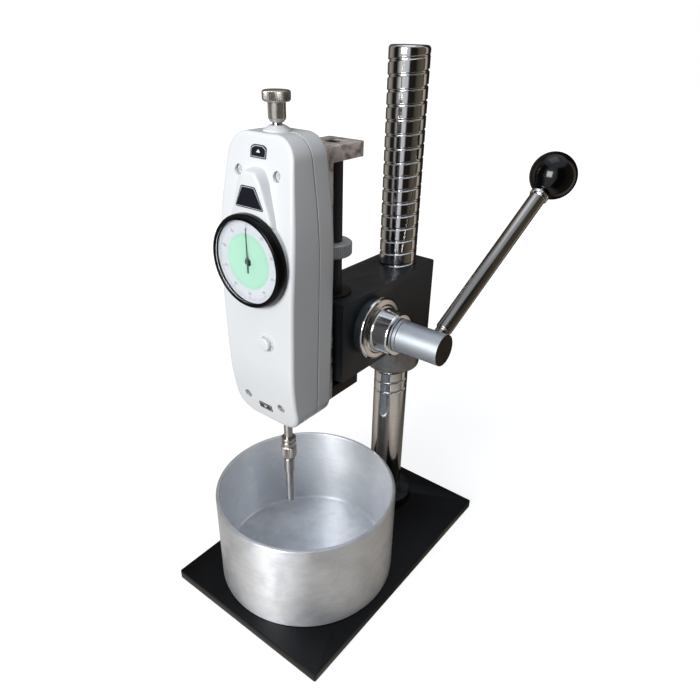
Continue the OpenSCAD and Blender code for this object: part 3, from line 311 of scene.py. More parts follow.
def lathe(name, profile, base, axis="Z", facets=128, angle=35):
    """Solid of revolution from (radius, height) points in mm; axis names the way its height runs."""
    turn = {"Z": Matrix.Identity(3), "X": Matrix.Rotation(math.pi / 2, 3, "Y"),
        "-Y": Matrix.Rotation(math.pi / 2, 3, "X"), "Y": Matrix.Rotation(-math.pi / 2, 3, "X")}
    turn = turn[axis] if isinstance(axis, str) else axis
    bm = bmesh.new()
    rings = []
    for r, h in profile:
        count = 1 if r < 1e-6 else facets
        rings.append([bm.verts.new(Vector(mm(*base)) + turn @ Vector(mm(
            r * math.cos(2 * math.pi * k / count), r * math.sin(2 * math.pi * k / count), h))) for k in range(count)])
    hollow = profile[0][0] > 1e-6
    for low, high in zip(rings, rings[1:] + rings[:1] if hollow else rings[1:]):
        for k in range(facets):
            n = (k + 1) % facets
            corners = [low[k % len(low)], low[n % len(low)], high[n % len(high)], high[k % len(high)]]
            corners = [c for i, c in enumerate(corners) if c not in corners[:i]]
            if len(corners) > 2:
                bm.faces.new(corners)
    return finished(bm, name, angle)


def rounded(points, radius=0.4, steps=4, closed=False):
    """Rounds the corners of a (radius, height) outline; a point may carry its own radius as a third number."""
    made = []
    closed = closed or points[0][0] > 1e-6
    for i, point in enumerate(points):
        r = point[2] if len(point) > 2 else radius
        here = Vector(point[:2])
        if not closed and i in (0, len(points) - 1):
            made.append(tuple(here))
            continue
        before, after = Vector(points[i - 1][:2]) - here, Vector(points[(i + 1) % len(points)][:2]) - here
        reach = min(r, before.length * 0.45, after.length * 0.45)
        a, b = here + before.normalized() * reach, here + after.normalized() * reach
        for t in (s / steps for s in range(steps + 1)):
            made.append(tuple((1 - t) ** 2 * a + 2 * t * (1 - t) * here + t * t * b))
    return made


def turned(name, outline, base, material, body, slot, *nodes, axis="Z", facets=128, edge=0.3, steps=4):
    """Piece turned to an outline, with its corners rounded."""
    return piece(name, lathe(name, rounded(outline, edge, steps), base, axis, facets), material, body, slot, *nodes)


def band(bm, low, high):
    """Closes the surface between two rings of equally many points."""
    for k in range(len(low)):
        n = (k + 1) % len(low)
        bm.faces.new((low[k], low[n], high[n], high[k]))


def grooved_column():
    """Bar with the groove as one helical strip of rows, closed by the plain foot and the rounded top."""
    turns = GROOVE["turns"]
    bm = bmesh.new()

    def on_bar(r, step, z):
        angle = math.radians(GROOVE["start"]) + 2 * math.pi * step / FACETS
        return bm.verts.new(mm(r * math.cos(angle), COLUMN["y"] + r * math.sin(angle), z))

    def ring(r, z):
        return [on_bar(r, k, z) for k in range(FACETS)]

    strip = []
    for step in range(FACETS * turns + 1):
        gone = step / FACETS
        fade = min(1, 2 * gone, 2 * (turns - gone))
        strip.append([on_bar(COLUMN["r"] - GROOVE["depth"] * cut * fade, step,
            GROOVE["first"] + GROOVE["pitch"] * gone + GROOVE["width"] * offset) for offset, cut in GROOVE_ROWS])
    for a, b in zip(strip, strip[1:]):
        for k in range(len(GROOVE_ROWS) - 1):
            bm.faces.new((a[k], b[k], b[k + 1], a[k + 1]))
    for low, low_next, high, high_next in zip(strip, strip[1:], strip[FACETS:], strip[FACETS + 1:]):
        bm.faces.new((low[-1], low_next[-1], high_next[0], high[0]))
    foot, under = ring(COLUMN["r"], COLUMN["foot"]), ring(COLUMN["r"], GROOVE["first"] - 3)
    over = ring(COLUMN["r"], COLUMN["top"] - COLUMN["edge"])
    band(bm, foot, under)
    # One face of the first turn and one of the last take in the groove's cross-section at its ends
    for k in range(FACETS):
        opening = strip[0] if k == FACETS - 1 else []
        bm.faces.new((under[k], under[(k + 1) % FACETS], *opening, strip[k + 1][0], strip[k][0]))
    for k, (a, b) in enumerate(zip(strip[-FACETS - 1:], strip[-FACETS:])):
        opening = strip[-1][::-1] if k == 0 else []
        bm.faces.new((a[-1], b[-1], over[(k + 1) % FACETS], over[k], *opening))
    for step in range(1, EDGE_STEPS + 1):
        t = math.pi / 2 * step / EDGE_STEPS
        above = ring(COLUMN["r"] - COLUMN["edge"] * (1 - math.cos(t)),
            COLUMN["top"] - COLUMN["edge"] * (1 - math.sin(t)))
        band(bm, over, above)
        over = above
    bm.faces.new(over)
    bm.faces.new(foot[::-1])
    return finished(bm, "grooved_column", 40)


def dress(material, *nodes):
    """Gives CAD nodes that show as they are their material."""
    for node in nodes:
        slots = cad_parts[node].data.materials
        slots.clear()
        slots.append(material)


# Hard chrome on a ground bar: mirror-like; its grinding lines, drawn coarser than real, blur the reflection
hard_chrome, tree, shader, at = finish_of("hard_chrome_on_ground_bar", "#D9DADC", 1.0, 0.09)
upright = add(tree, "ShaderNodeMapping", {3: (1, 1, 14)}, {0: at})
grind = add(tree, "ShaderNodeTexNoise", {"Scale": per_mm(9), "Detail": 6}, {"Vector": upright})
vary(shader, "Base Color", grind, "#D9DADC", "#C3C1BD")
vary(shader, "Roughness", grind, 0.06, 0.13)
bump(shader, grind, 0.01, 0.25)
piece("grooved_column", grooved_column(), hard_chrome, "stand", "column_chrome", "column")
# Black oxide on steel: dipped and oiled, almost black, with a dull sheen and paler rubbed patches
black_oxide = mottled("black_oxide_oiled_steel", ("#101113", "#4A4B4E"), 0.75, (0.3, 0.5), (7, 6), (0.02, 0.3))
turned("foot_ring", [(15.05, 8), (25.75, 8), (25.75, 14, 1.5), (15.05, 14)], (0, COLUMN["y"], 0), black_oxide,
    "stand", "black_oxide", "column_flange")
dress(black_oxide, "column_bolt")

# ---- Mortar pot
# Cylindrical vessel turned from aluminium, 140 mm inside: faint turning lines on the inside and floor, a wall
# polished bright by handling outside, a broken rim and a small fillet round the floor.
POT = {"x": -2.5, "y": -36.5, "foot": 8.03, "r": 73, "h": 80, "wall": 3, "floor": 5}
# Turned aluminium: broad soft highlights up the wall, bluish stains and darker hand marks, and turning rings that
# are drawn coarser than real
turned_aluminium, tree, shader, at = finish_of("turned_aluminium_handled", "#E2E6EC", 0.78, 0.5, Anisotropic=0.8,
    Anisotropic_Rotation=0.25)
centred = add(tree, "ShaderNodeMapping", {1: mm(-POT["x"], -POT["y"], 0)}, {0: at})
turning = add(tree, "ShaderNodeMapping", {3: (1, 1, 9)}, {0: centred})
lines = add(tree, "ShaderNodeTexNoise", {"Scale": per_mm(10), "Detail": 8, "Roughness": 0.65}, {"Vector": turning})
stain = add(tree, "ShaderNodeTexNoise", {"Scale": per_mm(34), "Detail": 4, "Distortion": 0.8}, {"Vector": centred})
rings = add(tree, "ShaderNodeTexWave", {"Scale": per_mm(7), "Distortion": 1.5, "Detail": 3, "Detail Scale": 2.0},
    {"Vector": centred}, wave_type="RINGS", rings_direction="Z")
smudge = add(tree, "ShaderNodeTexNoise", {"Scale": per_mm(22), "Detail": 7, "Roughness": 0.62, "Distortion": 0.4},
    {"Vector": centred})
tint = add(tree, "ShaderNodeMix", {6: "#DAE1E9", 7: "#F7F7F8"}, {0: stain}, data_type="RGBA")
# Painted light: the inner wall, from 69 to 72.6 mm off the axis, gets a paler colour and less metallic sheen than the
# outside and the floor, which lifts it out of the pot's shade
flat = add(tree, "ShaderNodeVectorMath", {1: (1, 1, 0)}, {0: centred}, operation="MULTIPLY")
reach = add(tree, "ShaderNodeVectorMath", links={0: flat}, operation="LENGTH")
across = add(tree, "ShaderNodeMapRange", {1: mm(60), 2: mm(75)}, {0: reach.outputs["Value"]})
inner_wall_band = add(tree, "ShaderNodeValToRGB", links={0: across},
    stops=[(0.6, "#E6E6E6"), (0.66, "#CCCCCC"), (0.7, "#CCCCCC"), (0.84, "#E6E6E6")])
tree.links.new(inner_wall_band.outputs[0], shader.inputs["Metallic"])
# Painted light: the inner wall's colour is raised from 0.82 to 0.96 of the tint, the hand marks elsewhere
painted_inner_lift = add(tree, "ShaderNodeMapRange", {1: 0.604, 2: 0.791, 3: 0.96, 4: 0.82}, {0: inner_wall_band})
smudge_and_lift = add(tree, "ShaderNodeMapRange", {1: 0.34, 2: 0.58}, {0: smudge, 3: painted_inner_lift})
streak = add(tree, "ShaderNodeMapRange", {1: 0.35, 2: 0.6, 3: 0.92}, {0: lines})
wear_and_lift = add(tree, "ShaderNodeMath", links={0: smudge_and_lift, 1: streak}, operation="MULTIPLY")
pot_colour = add(tree, "ShaderNodeVectorMath", links={0: tint.outputs[2], "Scale": wear_and_lift}, operation="SCALE")
tree.links.new(pot_colour.outputs[0], shader.inputs["Base Color"])
blurred = add(tree, "ShaderNodeMath", {1: 0.5}, {0: lines, 2: stain}, operation="MULTIPLY_ADD")
spread = add(tree, "ShaderNodeMapRange", {1: 0.5, 3: 0.38, 4: 0.45}, {0: blurred})
tree.links.new(spread.outputs[0], shader.inputs["Roughness"])
relief = add(tree, "ShaderNodeMath", {1: 0.4}, {0: rings.outputs[1], 2: lines}, operation="MULTIPLY_ADD")
bump(shader, relief, 0.03, 0.5)
pot_in = POT["r"] - POT["wall"]
turned("mortar_pot", [(0, 0), (POT["r"], 0, 2), (POT["r"], POT["h"], 0.8), (pot_in, POT["h"], 0.8),
    (pot_in, POT["floor"], 3), (0, POT["floor"])],
    (POT["x"], POT["y"], POT["foot"]), turned_aluminium, "pot", "pot_aluminium", "pot", facets=192, edge=0.5, steps=6)

# ---- Head block with its bushes, lock screw and end cap
# Iron block, milled square, bored for the column, the rack rod and the pinion shaft, and painted. A screw on its
# left side presses a brass pad on the column. The rod and the shaft run in pressed-in bushes.
# Satin black paint on iron: a little grain from the casting, and greyer where it is handled
head_paint = mottled("satin_black_paint_on_iron", ("#20252A", "#2E343A"), 0, (0.28, 0.42), (30, 3), (0.02, 0.3),
    (2.2, 5))
eased("head_block", 0.7, head_paint, "head", "head_black")
turned("upper_rod_bush", [(7.08, -13), (9.95, -13), (9.95, 0), (13.8, 0), (13.8, 1.5), (7.08, 1.5)], (0, -8, 250.5),
    black_oxide, "head", "black_oxide", "rod_bush_upper", edge=0.35)
# Turned and reamed bronze: warm and dull, with fine marks
bronze = mottled("turned_bronze", ("#9C7740", "#B9935A"), 1, 0.4, (1.5, 4), (0.01, 0.3))
dress(bronze, "rod_bush_lower", "shaft_bush", "lock_pad")
for node in ("shaft_end_cap", "lock_screw"):
    eased(node, 0.35, black_oxide, "head", "black_oxide")

# ---- Polished flange and barrel
# One turned steel piece pressed in the head's right side. It carries the pinion shaft's bush, and has a step behind
# the flange's rim.
SHAFT_Y, SHAFT_Z, BARREL_END = 11.5, 223.0, 48.0
# Buffed steel: a mirror of the room, slightly wavy from the wheel
buffed_steel = mottled("buffed_steel", ("#D6D4D0", "#E2E4E8"), 1, (0.08, 0.15), (12, 4), (0.03, 0.1))
turned("polished_barrel", [(10, 12.5), (16.45, 12.5), (16.45, 28.5), (24, 28.5), (24, 30.4, 0.8), (22.3, 31.9, 0.6),
    (18.8, 32, 0.5), (18, 33.0, 0.5), (16.5, 33.2, 0.4), (16.5, 46.4, 0.8), (15.2, BARREL_END, 0.3), (10, BARREL_END)],
    (0, SHAFT_Y, SHAFT_Z), buffed_steel, "head", "polished_steel", "shaft_housing", axis="X", facets=160)

# ---- Collar nut under the head
# Round steel nut with a deeply rounded lower edge. It carries the head, and its pin runs in the column's groove.
# Bead-blasted steel: dull and mottled, without a clear reflection; its grain is drawn coarser than real
blasted_steel = mottled("bead_blasted_steel", ("#6C6B68", "#B4B5B5"), 0.7, (0.33, 0.5),
    (3.5, 7, ("Roughness", 0.7)), (0.12, 0.5))
turned("collar_nut", [(15.08, 156.2), (24, 156.2, 9), (24, 188.2, 0.5), (15.08, 188.2)], (0, COLUMN["y"], 0),
    blasted_steel, "height_nut", "satin_collar", "height_nut", edge=0.4, steps=8)
# Ground steel: bright and cool, softened by grinding lines too fine to draw
plain_steel = mottled("ground_steel", ("#C2BFBC", "#D0CECC"), 1, (0.15, 0.2), (20, 0), (0.01, 0.12))
dress(plain_steel, "groove_pin", "pinion_shaft", "hub_set_screw")

# ---- Hub, lever and ball
# The hub is turned from bar, with a wider ring at its inner end and a sawn outer face. A rod is screwed in across
# it; a bright nut locks the ball on the rod's far end.
HUB = {"start": 48.3, "end": 85, "r": 11.6, "ring": 12.6, "bore": 6.1, "bore_end": 66.9}
LEVER = {"x": 74.7, "angle": 43, "lean": 9.5, "len": 155, "r": 6, "neck": 5, "ball": 17}
# Turned aluminium: pale and satin, with turning lines drawn coarser than real; its sawn outer face, turned away from
# the light, is painted dark as painted shade
turned_hub, tree, shader, at = finish_of("turned_aluminium_hub", "#B4BAC0", 1.0, 0.34)
across = add(tree, "ShaderNodeMapping", {3: (30, 1, 1)}, {0: at})
lines = add(tree, "ShaderNodeTexNoise", {"Scale": per_mm(14), "Detail": 6}, {"Vector": across})
tint = add(tree, "ShaderNodeMix", {6: "#A6ADB4", 7: "#BEC3C8"}, {0: lines}, data_type="RGBA")
along = add(tree, "ShaderNodeSeparateXYZ", links={0: at})
# Painted shade: the outer end face, from 84.5 mm along the axis, is mixed to a dark colour
sawn = add(tree, "ShaderNodeMapRange", {1: mm(84.5), 2: mm(84.9)}, {0: along.outputs[0]})
ends = add(tree, "ShaderNodeMix", {7: "#3E3A36"}, {0: sawn, 6: tint.outputs[2]}, data_type="RGBA")
tree.links.new(ends.outputs[2], shader.inputs["Base Color"])
vary(shader, "Roughness", lines, 0.5, 0.58)
bump(shader, lines, 0.01, 0.15)
turned("turned_hub", [(HUB["bore"], HUB["start"]), (HUB["ring"], HUB["start"]), (HUB["ring"], 50.9), (HUB["r"], 51.3),
    (HUB["r"], HUB["end"], 0.5), (0, HUB["end"]), (0, HUB["bore_end"]), (HUB["bore"], HUB["bore_end"])],
    (0, SHAFT_Y, SHAFT_Z), turned_hub, "lever", "hub_metal", "hub", axis="X")

LEVER_FOOT = (LEVER["x"], SHAFT_Y, SHAFT_Z)
lever_way = (Matrix.Rotation(math.radians(LEVER["angle"]), 3, "X")
    @ Matrix.Rotation(math.radians(-LEVER["lean"]), 3, "Z") @ Matrix.Rotation(math.radians(-90), 3, "X"))
lever_end, ball_r = LEVER["len"], LEVER["ball"]
nut_foot = lever_end - ball_r - 4.2
# Drawn stainless rod: long soft reflections along it
drawn_stainless = mottled("drawn_stainless_rod", ("#938F8A", "#AEA9A4"), 1, (0.18, 0.24), (24, 0), (0.02, 0.2))
turned("lever_rod_turned", [(0, 3.3), (LEVER["neck"], 3.3), (LEVER["neck"], 13.6), (LEVER["r"], 15.0),
    (LEVER["r"], nut_foot), (LEVER["neck"], nut_foot), (LEVER["neck"], lever_end), (0, lever_end)],
    LEVER_FOOT, drawn_stainless, "lever", "stainless", "lever_rod", axis=lever_way, facets=64)
turned("lever_lock_nut", [(5.06, nut_foot), (6.3, nut_foot), (7.0, nut_foot + 1.2), (7.0, nut_foot + 3.4),
    (6.4, nut_foot + 4.95), (5.06, nut_foot + 4.95)],
    LEVER_FOOT, buffed_steel, "lever", "polished_steel", "lever_nut", axis=lever_way, facets=64)
# Moulded phenolic: deep black with a hard gloss
phenolic = mottled("moulded_phenolic_ball", ("#020203", "#060607"), 0, (0.1, 0.14), (20, 3), (0.04, 0.1),
    Specular_IOR_Level=0.4)
ball_low = math.asin((1.5 - ball_r) / ball_r)
ball_arc = [(ball_r * math.cos(t), lever_end + ball_r * math.sin(t))
    for t in (ball_low + (math.pi / 2 - ball_low) * k / 48 for k in range(48))]
piece("phenolic_ball", lathe("phenolic_ball", [(0, nut_foot + 6.2), *ball_arc, (0, lever_end + ball_r)], LEVER_FOOT,
    lever_way, 96, 60), phenolic, "lever", "ball_plastic", "lever_ball")

# ---- Rack rod and stop nut
# Round bar with rack teeth milled along its rear. A straight-knurled nut on it comes down on the bush and ends the
# stroke.
def knurled(name, outline, base, material, body, slot, teeth, heights, rim, depth=0.3, edge=0.3):
    """Turned piece, named with its node, with straight knurling between two heights outside the rim's radius."""
    mesh = lathe(name[0], rounded(outline, edge), base, facets=teeth * 4)
    for vertex in mesh.vertices:
        x, y, z = vertex.co * 1000 - Vector(base)
        r = math.hypot(x, y)
        if heights[0] <= z <= heights[1] and r > rim:
            shrink = 1 - depth * (0.5 - 0.5 * math.cos(math.atan2(y, x) * teeth)) / r
            vertex.co = (Vector(base) + Vector((x * shrink, y * shrink, z))) / 1000
    piece(name[0], smoothed(mesh, 50), material, body, slot, name[1])


# Blued and oiled steel: almost black, with a dull sheen
blued_rod = mottled("blued_and_oiled_rod", ("#303134", "#4A4B4E"), 0.3, (0.28, 0.42), (6, 5), (0.01, 0.3))
dress(blued_rod, "rack_rod")
# Grey zinc plate: pale and cloudy
zinc_nut = mottled("grey_zinc_plated_knurl", ("#C6C7C8", "#E2E3E4"), 0.2, (0.3, 0.44), (4, 5), (0.01, 0.3))
knurled(("stop_nut_knurled", "depth_stop_nut"),
    [(7.08, 279), (12.6, 279), (14, 280.2), (14, 287.8), (12.6, 289), (7.08, 289)], (0, -8, 0), zinc_nut,
    "depth_stop", "black_oxide", 60, (279.8, 288.2), 13.4, 0.45)

# ---- Bracket
# Two flat steel arms screwed to the rear of a steel plate, all nickel-plated. Socket screws hold the arms and the
# rod between them.
# Worn nickel plate: warm and pale, with greyish brown patches where it is thin
worn_nickel, tree, shader, at = finish_of("worn_nickel_plate", "#FBF8F6", 0.3, 0.3)
wear = add(tree, "ShaderNodeTexNoise", {"Scale": per_mm(11), "Detail": 5, "Distortion": 0.7}, {"Vector": at})
pits = add(tree, "ShaderNodeTexNoise", {"Scale": per_mm(6), "Detail": 1}, {"Vector": at})
ramp = add(tree, "ShaderNodeValToRGB", links={0: wear}, stops=[(0.36, "#9C9089"), (0.5, "#EEE1DA"), (0.62, "#FBF8F6")])
tree.links.new(ramp.outputs[0], shader.inputs["Base Color"])
vary(shader, "Roughness", pits, 0.22, 0.34)
bump(shader, pits, 0.01, 0.15)
# Nickel on the lower arm, painted almost black: partly tarnish from oil and handling, partly painted shade below the
# head
tarnish_and_shade_nickel = mottled("tarnished_and_shaded_nickel", ("#201F1D", "#3A3734"), 0.6, (0.36, 0.5),
    (16, 3, ("Distortion", 0.5)), (0.02, 0.2))
for node, edge, plating in (("bracket_plate", 0.6, worn_nickel), ("bracket_top_arm", 1.5, worn_nickel),
        ("bracket_bottom_arm", 0.6, tarnish_and_shade_nickel)):
    eased(node, edge, plating, "carriage", "nickel")
dress(black_oxide, "bracket_screws", "rod_end_screws", "gauge_mount_screws")
dress(head_paint, "gauge_mount_plate")

# ---- Gauge covers
# Two zinc castings joined on a seam round the sides. The front one is fullest below the dial and falls back to its
# top and foot; its keystone and its boss under the bezel stay upright.
GAUGE = {"y": -58, "front": -83.3, "rear": -43, "z0": 174.4, "h": 192, "low": 28.3, "mid": 31.9, "high": 25,
    "mid_h": 135, "side_r": 300, "corner": 15, "edge": 2.8, "crown_top": 11.5, "crown_foot": 8,
    "belly": (50, 82), "wall": 2.4}
KEYSTONE = [(19.5, 115, 1), (19.5, 142, 9), (9.8, 168.5, 6), (5.2, 174, 5)]
DIAL_Z, BUTTON_X, BUTTON_Z, SCREW_X, SCREW_ZS = 294.4, 8.5, 240.9, 15.5, (192.4, 344.9)


def arc(corner, r, a0, a1, steps):
    """Points of an arc that rounds the corner between two sides."""
    mid, reach = (a0 + a1) / 2, r / math.cos((a1 - a0) / 2)
    centre = Vector(corner) - reach * Vector((math.cos(mid), math.sin(mid)))
    return [tuple(centre + r * Vector((math.cos(a), math.sin(a))))
        for a in (a0 + (a1 - a0) * i / steps for i in range(steps + 1))]


side_low = math.atan2(GAUGE["low"] - GAUGE["mid"], GAUGE["mid_h"])
side_high = math.atan2(GAUGE["mid"] - GAUGE["high"], GAUGE["h"] - GAUGE["mid_h"])
half_outline = (arc((GAUGE["low"], 0), GAUGE["corner"], -math.pi / 2, side_low, 20)
    + arc((GAUGE["mid"], GAUGE["mid_h"]), GAUGE["side_r"], side_low, side_high, 12)
    + arc((GAUGE["high"], GAUGE["h"]), GAUGE["corner"], side_high, math.pi / 2, 20))
outline = np.array([(-x, z) for x, z in half_outline[::-1]] + half_outline)


def edge_distance(x, z):
    """Distance in mm from a point of the face to the outline."""
    a, b = outline, np.roll(outline, -1, axis=0)
    ab, ap = b - a, np.array((x, z)) - a
    t = np.clip((ap * ab).sum(1) / np.maximum((ab * ab).sum(1), 1e-9), 0, 1)
    return float(np.hypot(*(ap - ab * t[:, None]).T).min())


def crown(z):
    """How far the face has fallen back at a height above the foot."""
    low, high = GAUGE["belly"]
    if z > high:
        return GAUGE["crown_top"] * ((z - high) / (GAUGE["h"] - high)) ** 2
    return GAUGE["crown_foot"] * ((low - z) / low) ** 2 if z < low else 0.0


def stacked(bm, rings):
    """Closes a solid through rings of equally many points, with a flat face at each end."""
    for low, high in zip(rings, rings[1:]):
        band(bm, low, high)
    bm.faces.new(rings[-1])
    bm.faces.new(rings[0][::-1])


def keystone_form():
    """Upright raised panel: rings of its rounded outline, from inside the casting to its flat front."""
    shape = rounded(KEYSTONE + [(-x, z, r) for x, z, r in KEYSTONE[::-1]], steps=8)
    bm = bmesh.new()
    rings = []
    for inset, y in ((0.0, -74.3), (1.0, -80.6), (1.25, -81.9), (1.6, -82.7), (2.15, -83.25), (2.9, -83.5)):
        ring = []
        for k, (x, z) in enumerate(shape):
            along = Vector(shape[(k + 1) % len(shape)]) - Vector(shape[k - 1])
            inward = Vector((-along.y, along.x)).normalized() * inset
            ring.append(bm.verts.new(mm(x + inward.x, y, GAUGE["z0"] + z + inward.y)))
        rings.append(ring)
    stacked(bm, rings)
    return finished(bm, "keystone_panel", 30)


def cover_shell(name, depth, facing, crowned):
    """One cover as a shell: a face with rounded edges and a side wall down to the seam, thickened inwards."""
    heights = sorted({round(z, 4) for _, z in half_outline} | {2.0 * k for k in range(1, 96)})
    spread = [0.5 - 0.5 * math.cos(math.pi * k / 56) for k in range(57)]
    half_x, half_z = zip(*half_outline)
    bm = bmesh.new()
    grid = []
    for z in heights:
        half_w = {heights[0]: half_x[0], heights[-1]: half_x[-1]}.get(z, float(np.interp(z, half_z, half_x)))
        row = []
        for t in spread:
            x = half_w * (2 * t - 1)
            d = min(edge_distance(x, z), GAUGE["edge"])
            y = depth - GAUGE["edge"] + math.sqrt(GAUGE["edge"] ** 2 - (GAUGE["edge"] - d) ** 2)
            if crowned:
                y -= crown(z) * y / depth
            row.append(bm.verts.new(mm(x, GAUGE["y"] + facing * y, GAUGE["z0"] + z)))
        grid.append(row)
    for a, b in zip(grid, grid[1:]):
        for k in range(len(spread) - 1):
            bm.faces.new((a[k], a[k + 1], b[k + 1], b[k]))
    rim = grid[0] + [row[-1] for row in grid[1:]] + grid[-1][-2::-1] + [row[0] for row in grid[-2:0:-1]]
    previous = rim
    # Down to the seam, where each cover turns in and leaves a fine gap
    for y, inset in ((1.6, 0.0), (0.55, 0.0), (0.4, 0.8)):
        ring = []
        for vertex in rim:
            x, z = vertex.co.x * 1000, vertex.co.z * 1000 - GAUGE["z0"]
            pull = Vector((x, z - GAUGE["h"] / 2)).normalized() * inset
            ring.append(bm.verts.new(mm(x - pull.x, GAUGE["y"] + facing * y, GAUGE["z0"] + z - pull.y)))
        band(bm, previous, ring)
        previous = ring
    bmesh.ops.remove_doubles(bm, verts=bm.verts, dist=1e-7)
    bmesh.ops.recalc_face_normals(bm, faces=bm.faces)
    if sum(f.normal.y * f.calc_area() for f in bm.faces if abs(f.normal.y) > 0.99) * facing < 0:
        bmesh.ops.reverse_faces(bm, faces=bm.faces)
    made = placed(name, finished(bm, name, outward=False))
    solid = made.modifiers.new("wall", "SOLIDIFY")
    solid.thickness, solid.offset = mm(GAUGE["wall"]), -1
    return made


def taken(made, *others):
    """Final mesh of an object with its modifiers applied; it and the others leave the scene."""
    bpy.context.view_layer.update()
    mesh = bpy.data.meshes.new_from_object(made.evaluated_get(bpy.context.evaluated_depsgraph_get()))
    for spent in (*others, made):
        bpy.data.objects.remove(spent)
    return mesh


def bored(made, holes):
    """Cuts round holes (x, y, z, radius, length, axis) and returns the finished mesh."""
    tools = []
    for x, y, z, r, length, axis in holes:
        tool = placed("tool", lathe("tool", [(0, 0), (r, 0), (r, length), (0, length)], (x, y, z), axis, 48))
        cut = made.modifiers.new("hole", "BOOLEAN")
        cut.operation, cut.solver, cut.object = "DIFFERENCE", "EXACT", tool
        tools.append(tool)
    return smoothed(taken(made, *tools), 32)


# Stoved gloss enamel on zinc: near-white and cool, with a shallow orange peel and a slight yellowing in places
stoved_enamel, tree, shader, at = finish_of("stoved_gloss_enamel_on_casting", "#E3E6E8", 0.0, 0.3, Coat_Weight=0.15)
peel = add(tree, "ShaderNodeTexNoise", {"Scale": per_mm(14), "Detail": 0}, {"Vector": at})
grime = add(tree, "ShaderNodeTexNoise", {"Scale": per_mm(60), "Detail": 5}, {"Vector": at})
vary(shader, "Base Color", grime, "#E3E6E8", "#D6D8D9")
vary(shader, "Roughness", peel, 0.295, 0.31)
bump(shader, peel, 0.02, 0.1)
painted = (stoved_enamel, "carriage", "gauge_paint")
shaft_holes = [(0, GAUGE["y"], GAUGE["z0"] - 2, 4.2, 14, "Z"), (0, GAUGE["y"], 355, 4.35, 20, "Z")]
screw_holes = [(sx * SCREW_X, GAUGE["y"] - 8, z, 3.1, 20, "-Y") for sx in (-1, 1) for z in SCREW_ZS]
mount_holes = [(sx * 7.5, GAUGE["rear"] - 6, z, 2.9, 12, "Y") for sx in (-1, 1) for z in (222.4, 302.4)]
work_holes = [(BUTTON_X, -70, BUTTON_Z, 5.75, 20, "-Y"), (0, -70, DIAL_Z, 4.0, 20, "-Y")]
piece("front_casting", bored(cover_shell("front_casting", 25.3, -1, True), shaft_holes + screw_holes + work_holes),
    *painted, "front_cover")
piece("rear_casting", bored(cover_shell("rear_casting", 15.0, 1, False), shaft_holes + mount_holes), *painted,
    "rear_cover")
turned("dial_boss", [(25.0, 0), (28.0, 0), (28.0, 8.5, 1.0), (25.0, 8.5, 0.3)], (0, -75, DIAL_Z), *painted, axis="-Y")
piece("keystone_panel", keystone_form(), *painted)
for k, (side, z) in enumerate((side, z) for z in SCREW_ZS for side in (-1, 1)):
    reach = 18.4 if z < DIAL_Z else 14.5
    turned(f"screw_post_{k}", [(1.7, 0), (4.0, 0), (4.0, reach), (3.1, reach), (3.1, 11.9), (1.7, 11.9)],
        (side * SCREW_X, -60, z), *painted, axis="-Y", facets=48, edge=0.1)
turned("white_top_collar", [(3.3, -6), (4.3, -6), (4.3, -0.4), (8.5, -0.4), (8.5, 0.5, 0.6), (5.2, 2.6, 1.5), (4.3, 3),
    (3.3, 3)], (0, GAUGE["y"], 366.4), *painted, "top_collar")
# Bright zinc on the screws: pale and soft
zinc_screw = mottled("bright_zinc_on_screw", ("#D0D2D4", "#E6E7E8"), 0.3, 0.4, (5, 1), (0.01, 0.2))
eased("cover_screws", 0.15, zinc_screw, "carriage", "steel_plain")

# ---- Inside the gauge
# Steel frame, brass movement plates, arbor and springs, hidden by the covers. In the gauge the load spring shortens
# against its upper seat as the needle is pushed up; here it keeps one shape.
# Stamped brass: yellow and smooth
stamped_brass = mottled("stamped_brass", ("#AD8545", "#C49C5A"), 1, 0.3, (2, 4), (0.01, 0.2))
dress(stamped_brass, "movement_bridge")
# Wound spring steel: its coils show as bands
wound_steel, tree, shader, at = finish_of("wound_spring_steel", "#9C9FA3", 1.0, 0.35)
coils = add(tree, "ShaderNodeTexWave", {"Scale": per_mm(8)}, {"Vector": at}, wave_type="BANDS", bands_direction="Z")
bump(shader, coils.outputs[1], 0.5)
dress(wound_steel, "button_spring")
load_coils = piece("load_spring_coils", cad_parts["load_spring"].data.copy(), wound_steel, "carriage",
    "spring_steel", "load_spring")
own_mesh(load_coils)
dress(plain_steel, "gauge_frame", "pointer_arbor", "crosshead")

# ---- Plates on the front cover
# Thin printed foils in rounded shapes, dark with a pale line near the edge, left without words: a trapezium on the
# keystone and two small plates with a plain arrow for the pulling and the pushing side.
PLATES = {"keystone": [(-5.6, 338.9), (5.6, 338.9), (11.6, 325.9), (-11.6, 325.9)],
    "pull": [(-6.3, 352.97), (6.3, 352.97), (6.3, 358.76), (3.7, 360.23), (-3.7, 360.23), (-6.3, 358.76)],
    "push": [(-6, 184.77), (6, 184.77), (6, 190.03), (-6, 190.03)]}


def foil(name, points, y, lift, thickness, corner):
    """Flat plate from (x, z) points with rounded corners; lift tells how far the face has fallen back."""
    bm = bmesh.new()
    shape = rounded(points, corner, closed=True)
    stacked(bm, [[bm.verts.new(mm(x, y + lift(z) - rise, z)) for x, z in shape] for rise in (0, thickness)])
    return finished(bm, name)


def shrunk(points, inset):
    """Points of a plate, the same to left and right, moved in from its edges."""
    middle = sum(z for _, z in points) / len(points)
    return [(x - math.copysign(inset, x), z - math.copysign(inset, z - middle)) for x, z in points]


def leaning(z):
    """Flat lie of a plate on the falling face: its set-back by height, true at z."""
    here = z - GAUGE["z0"]
    slope = crown(here + 0.5) - crown(here - 0.5)
    return lambda h: crown(here) + slope * (h - z)


def upright_face(z):
    """No set-back, for what lies on an upright face."""
    return 0.0


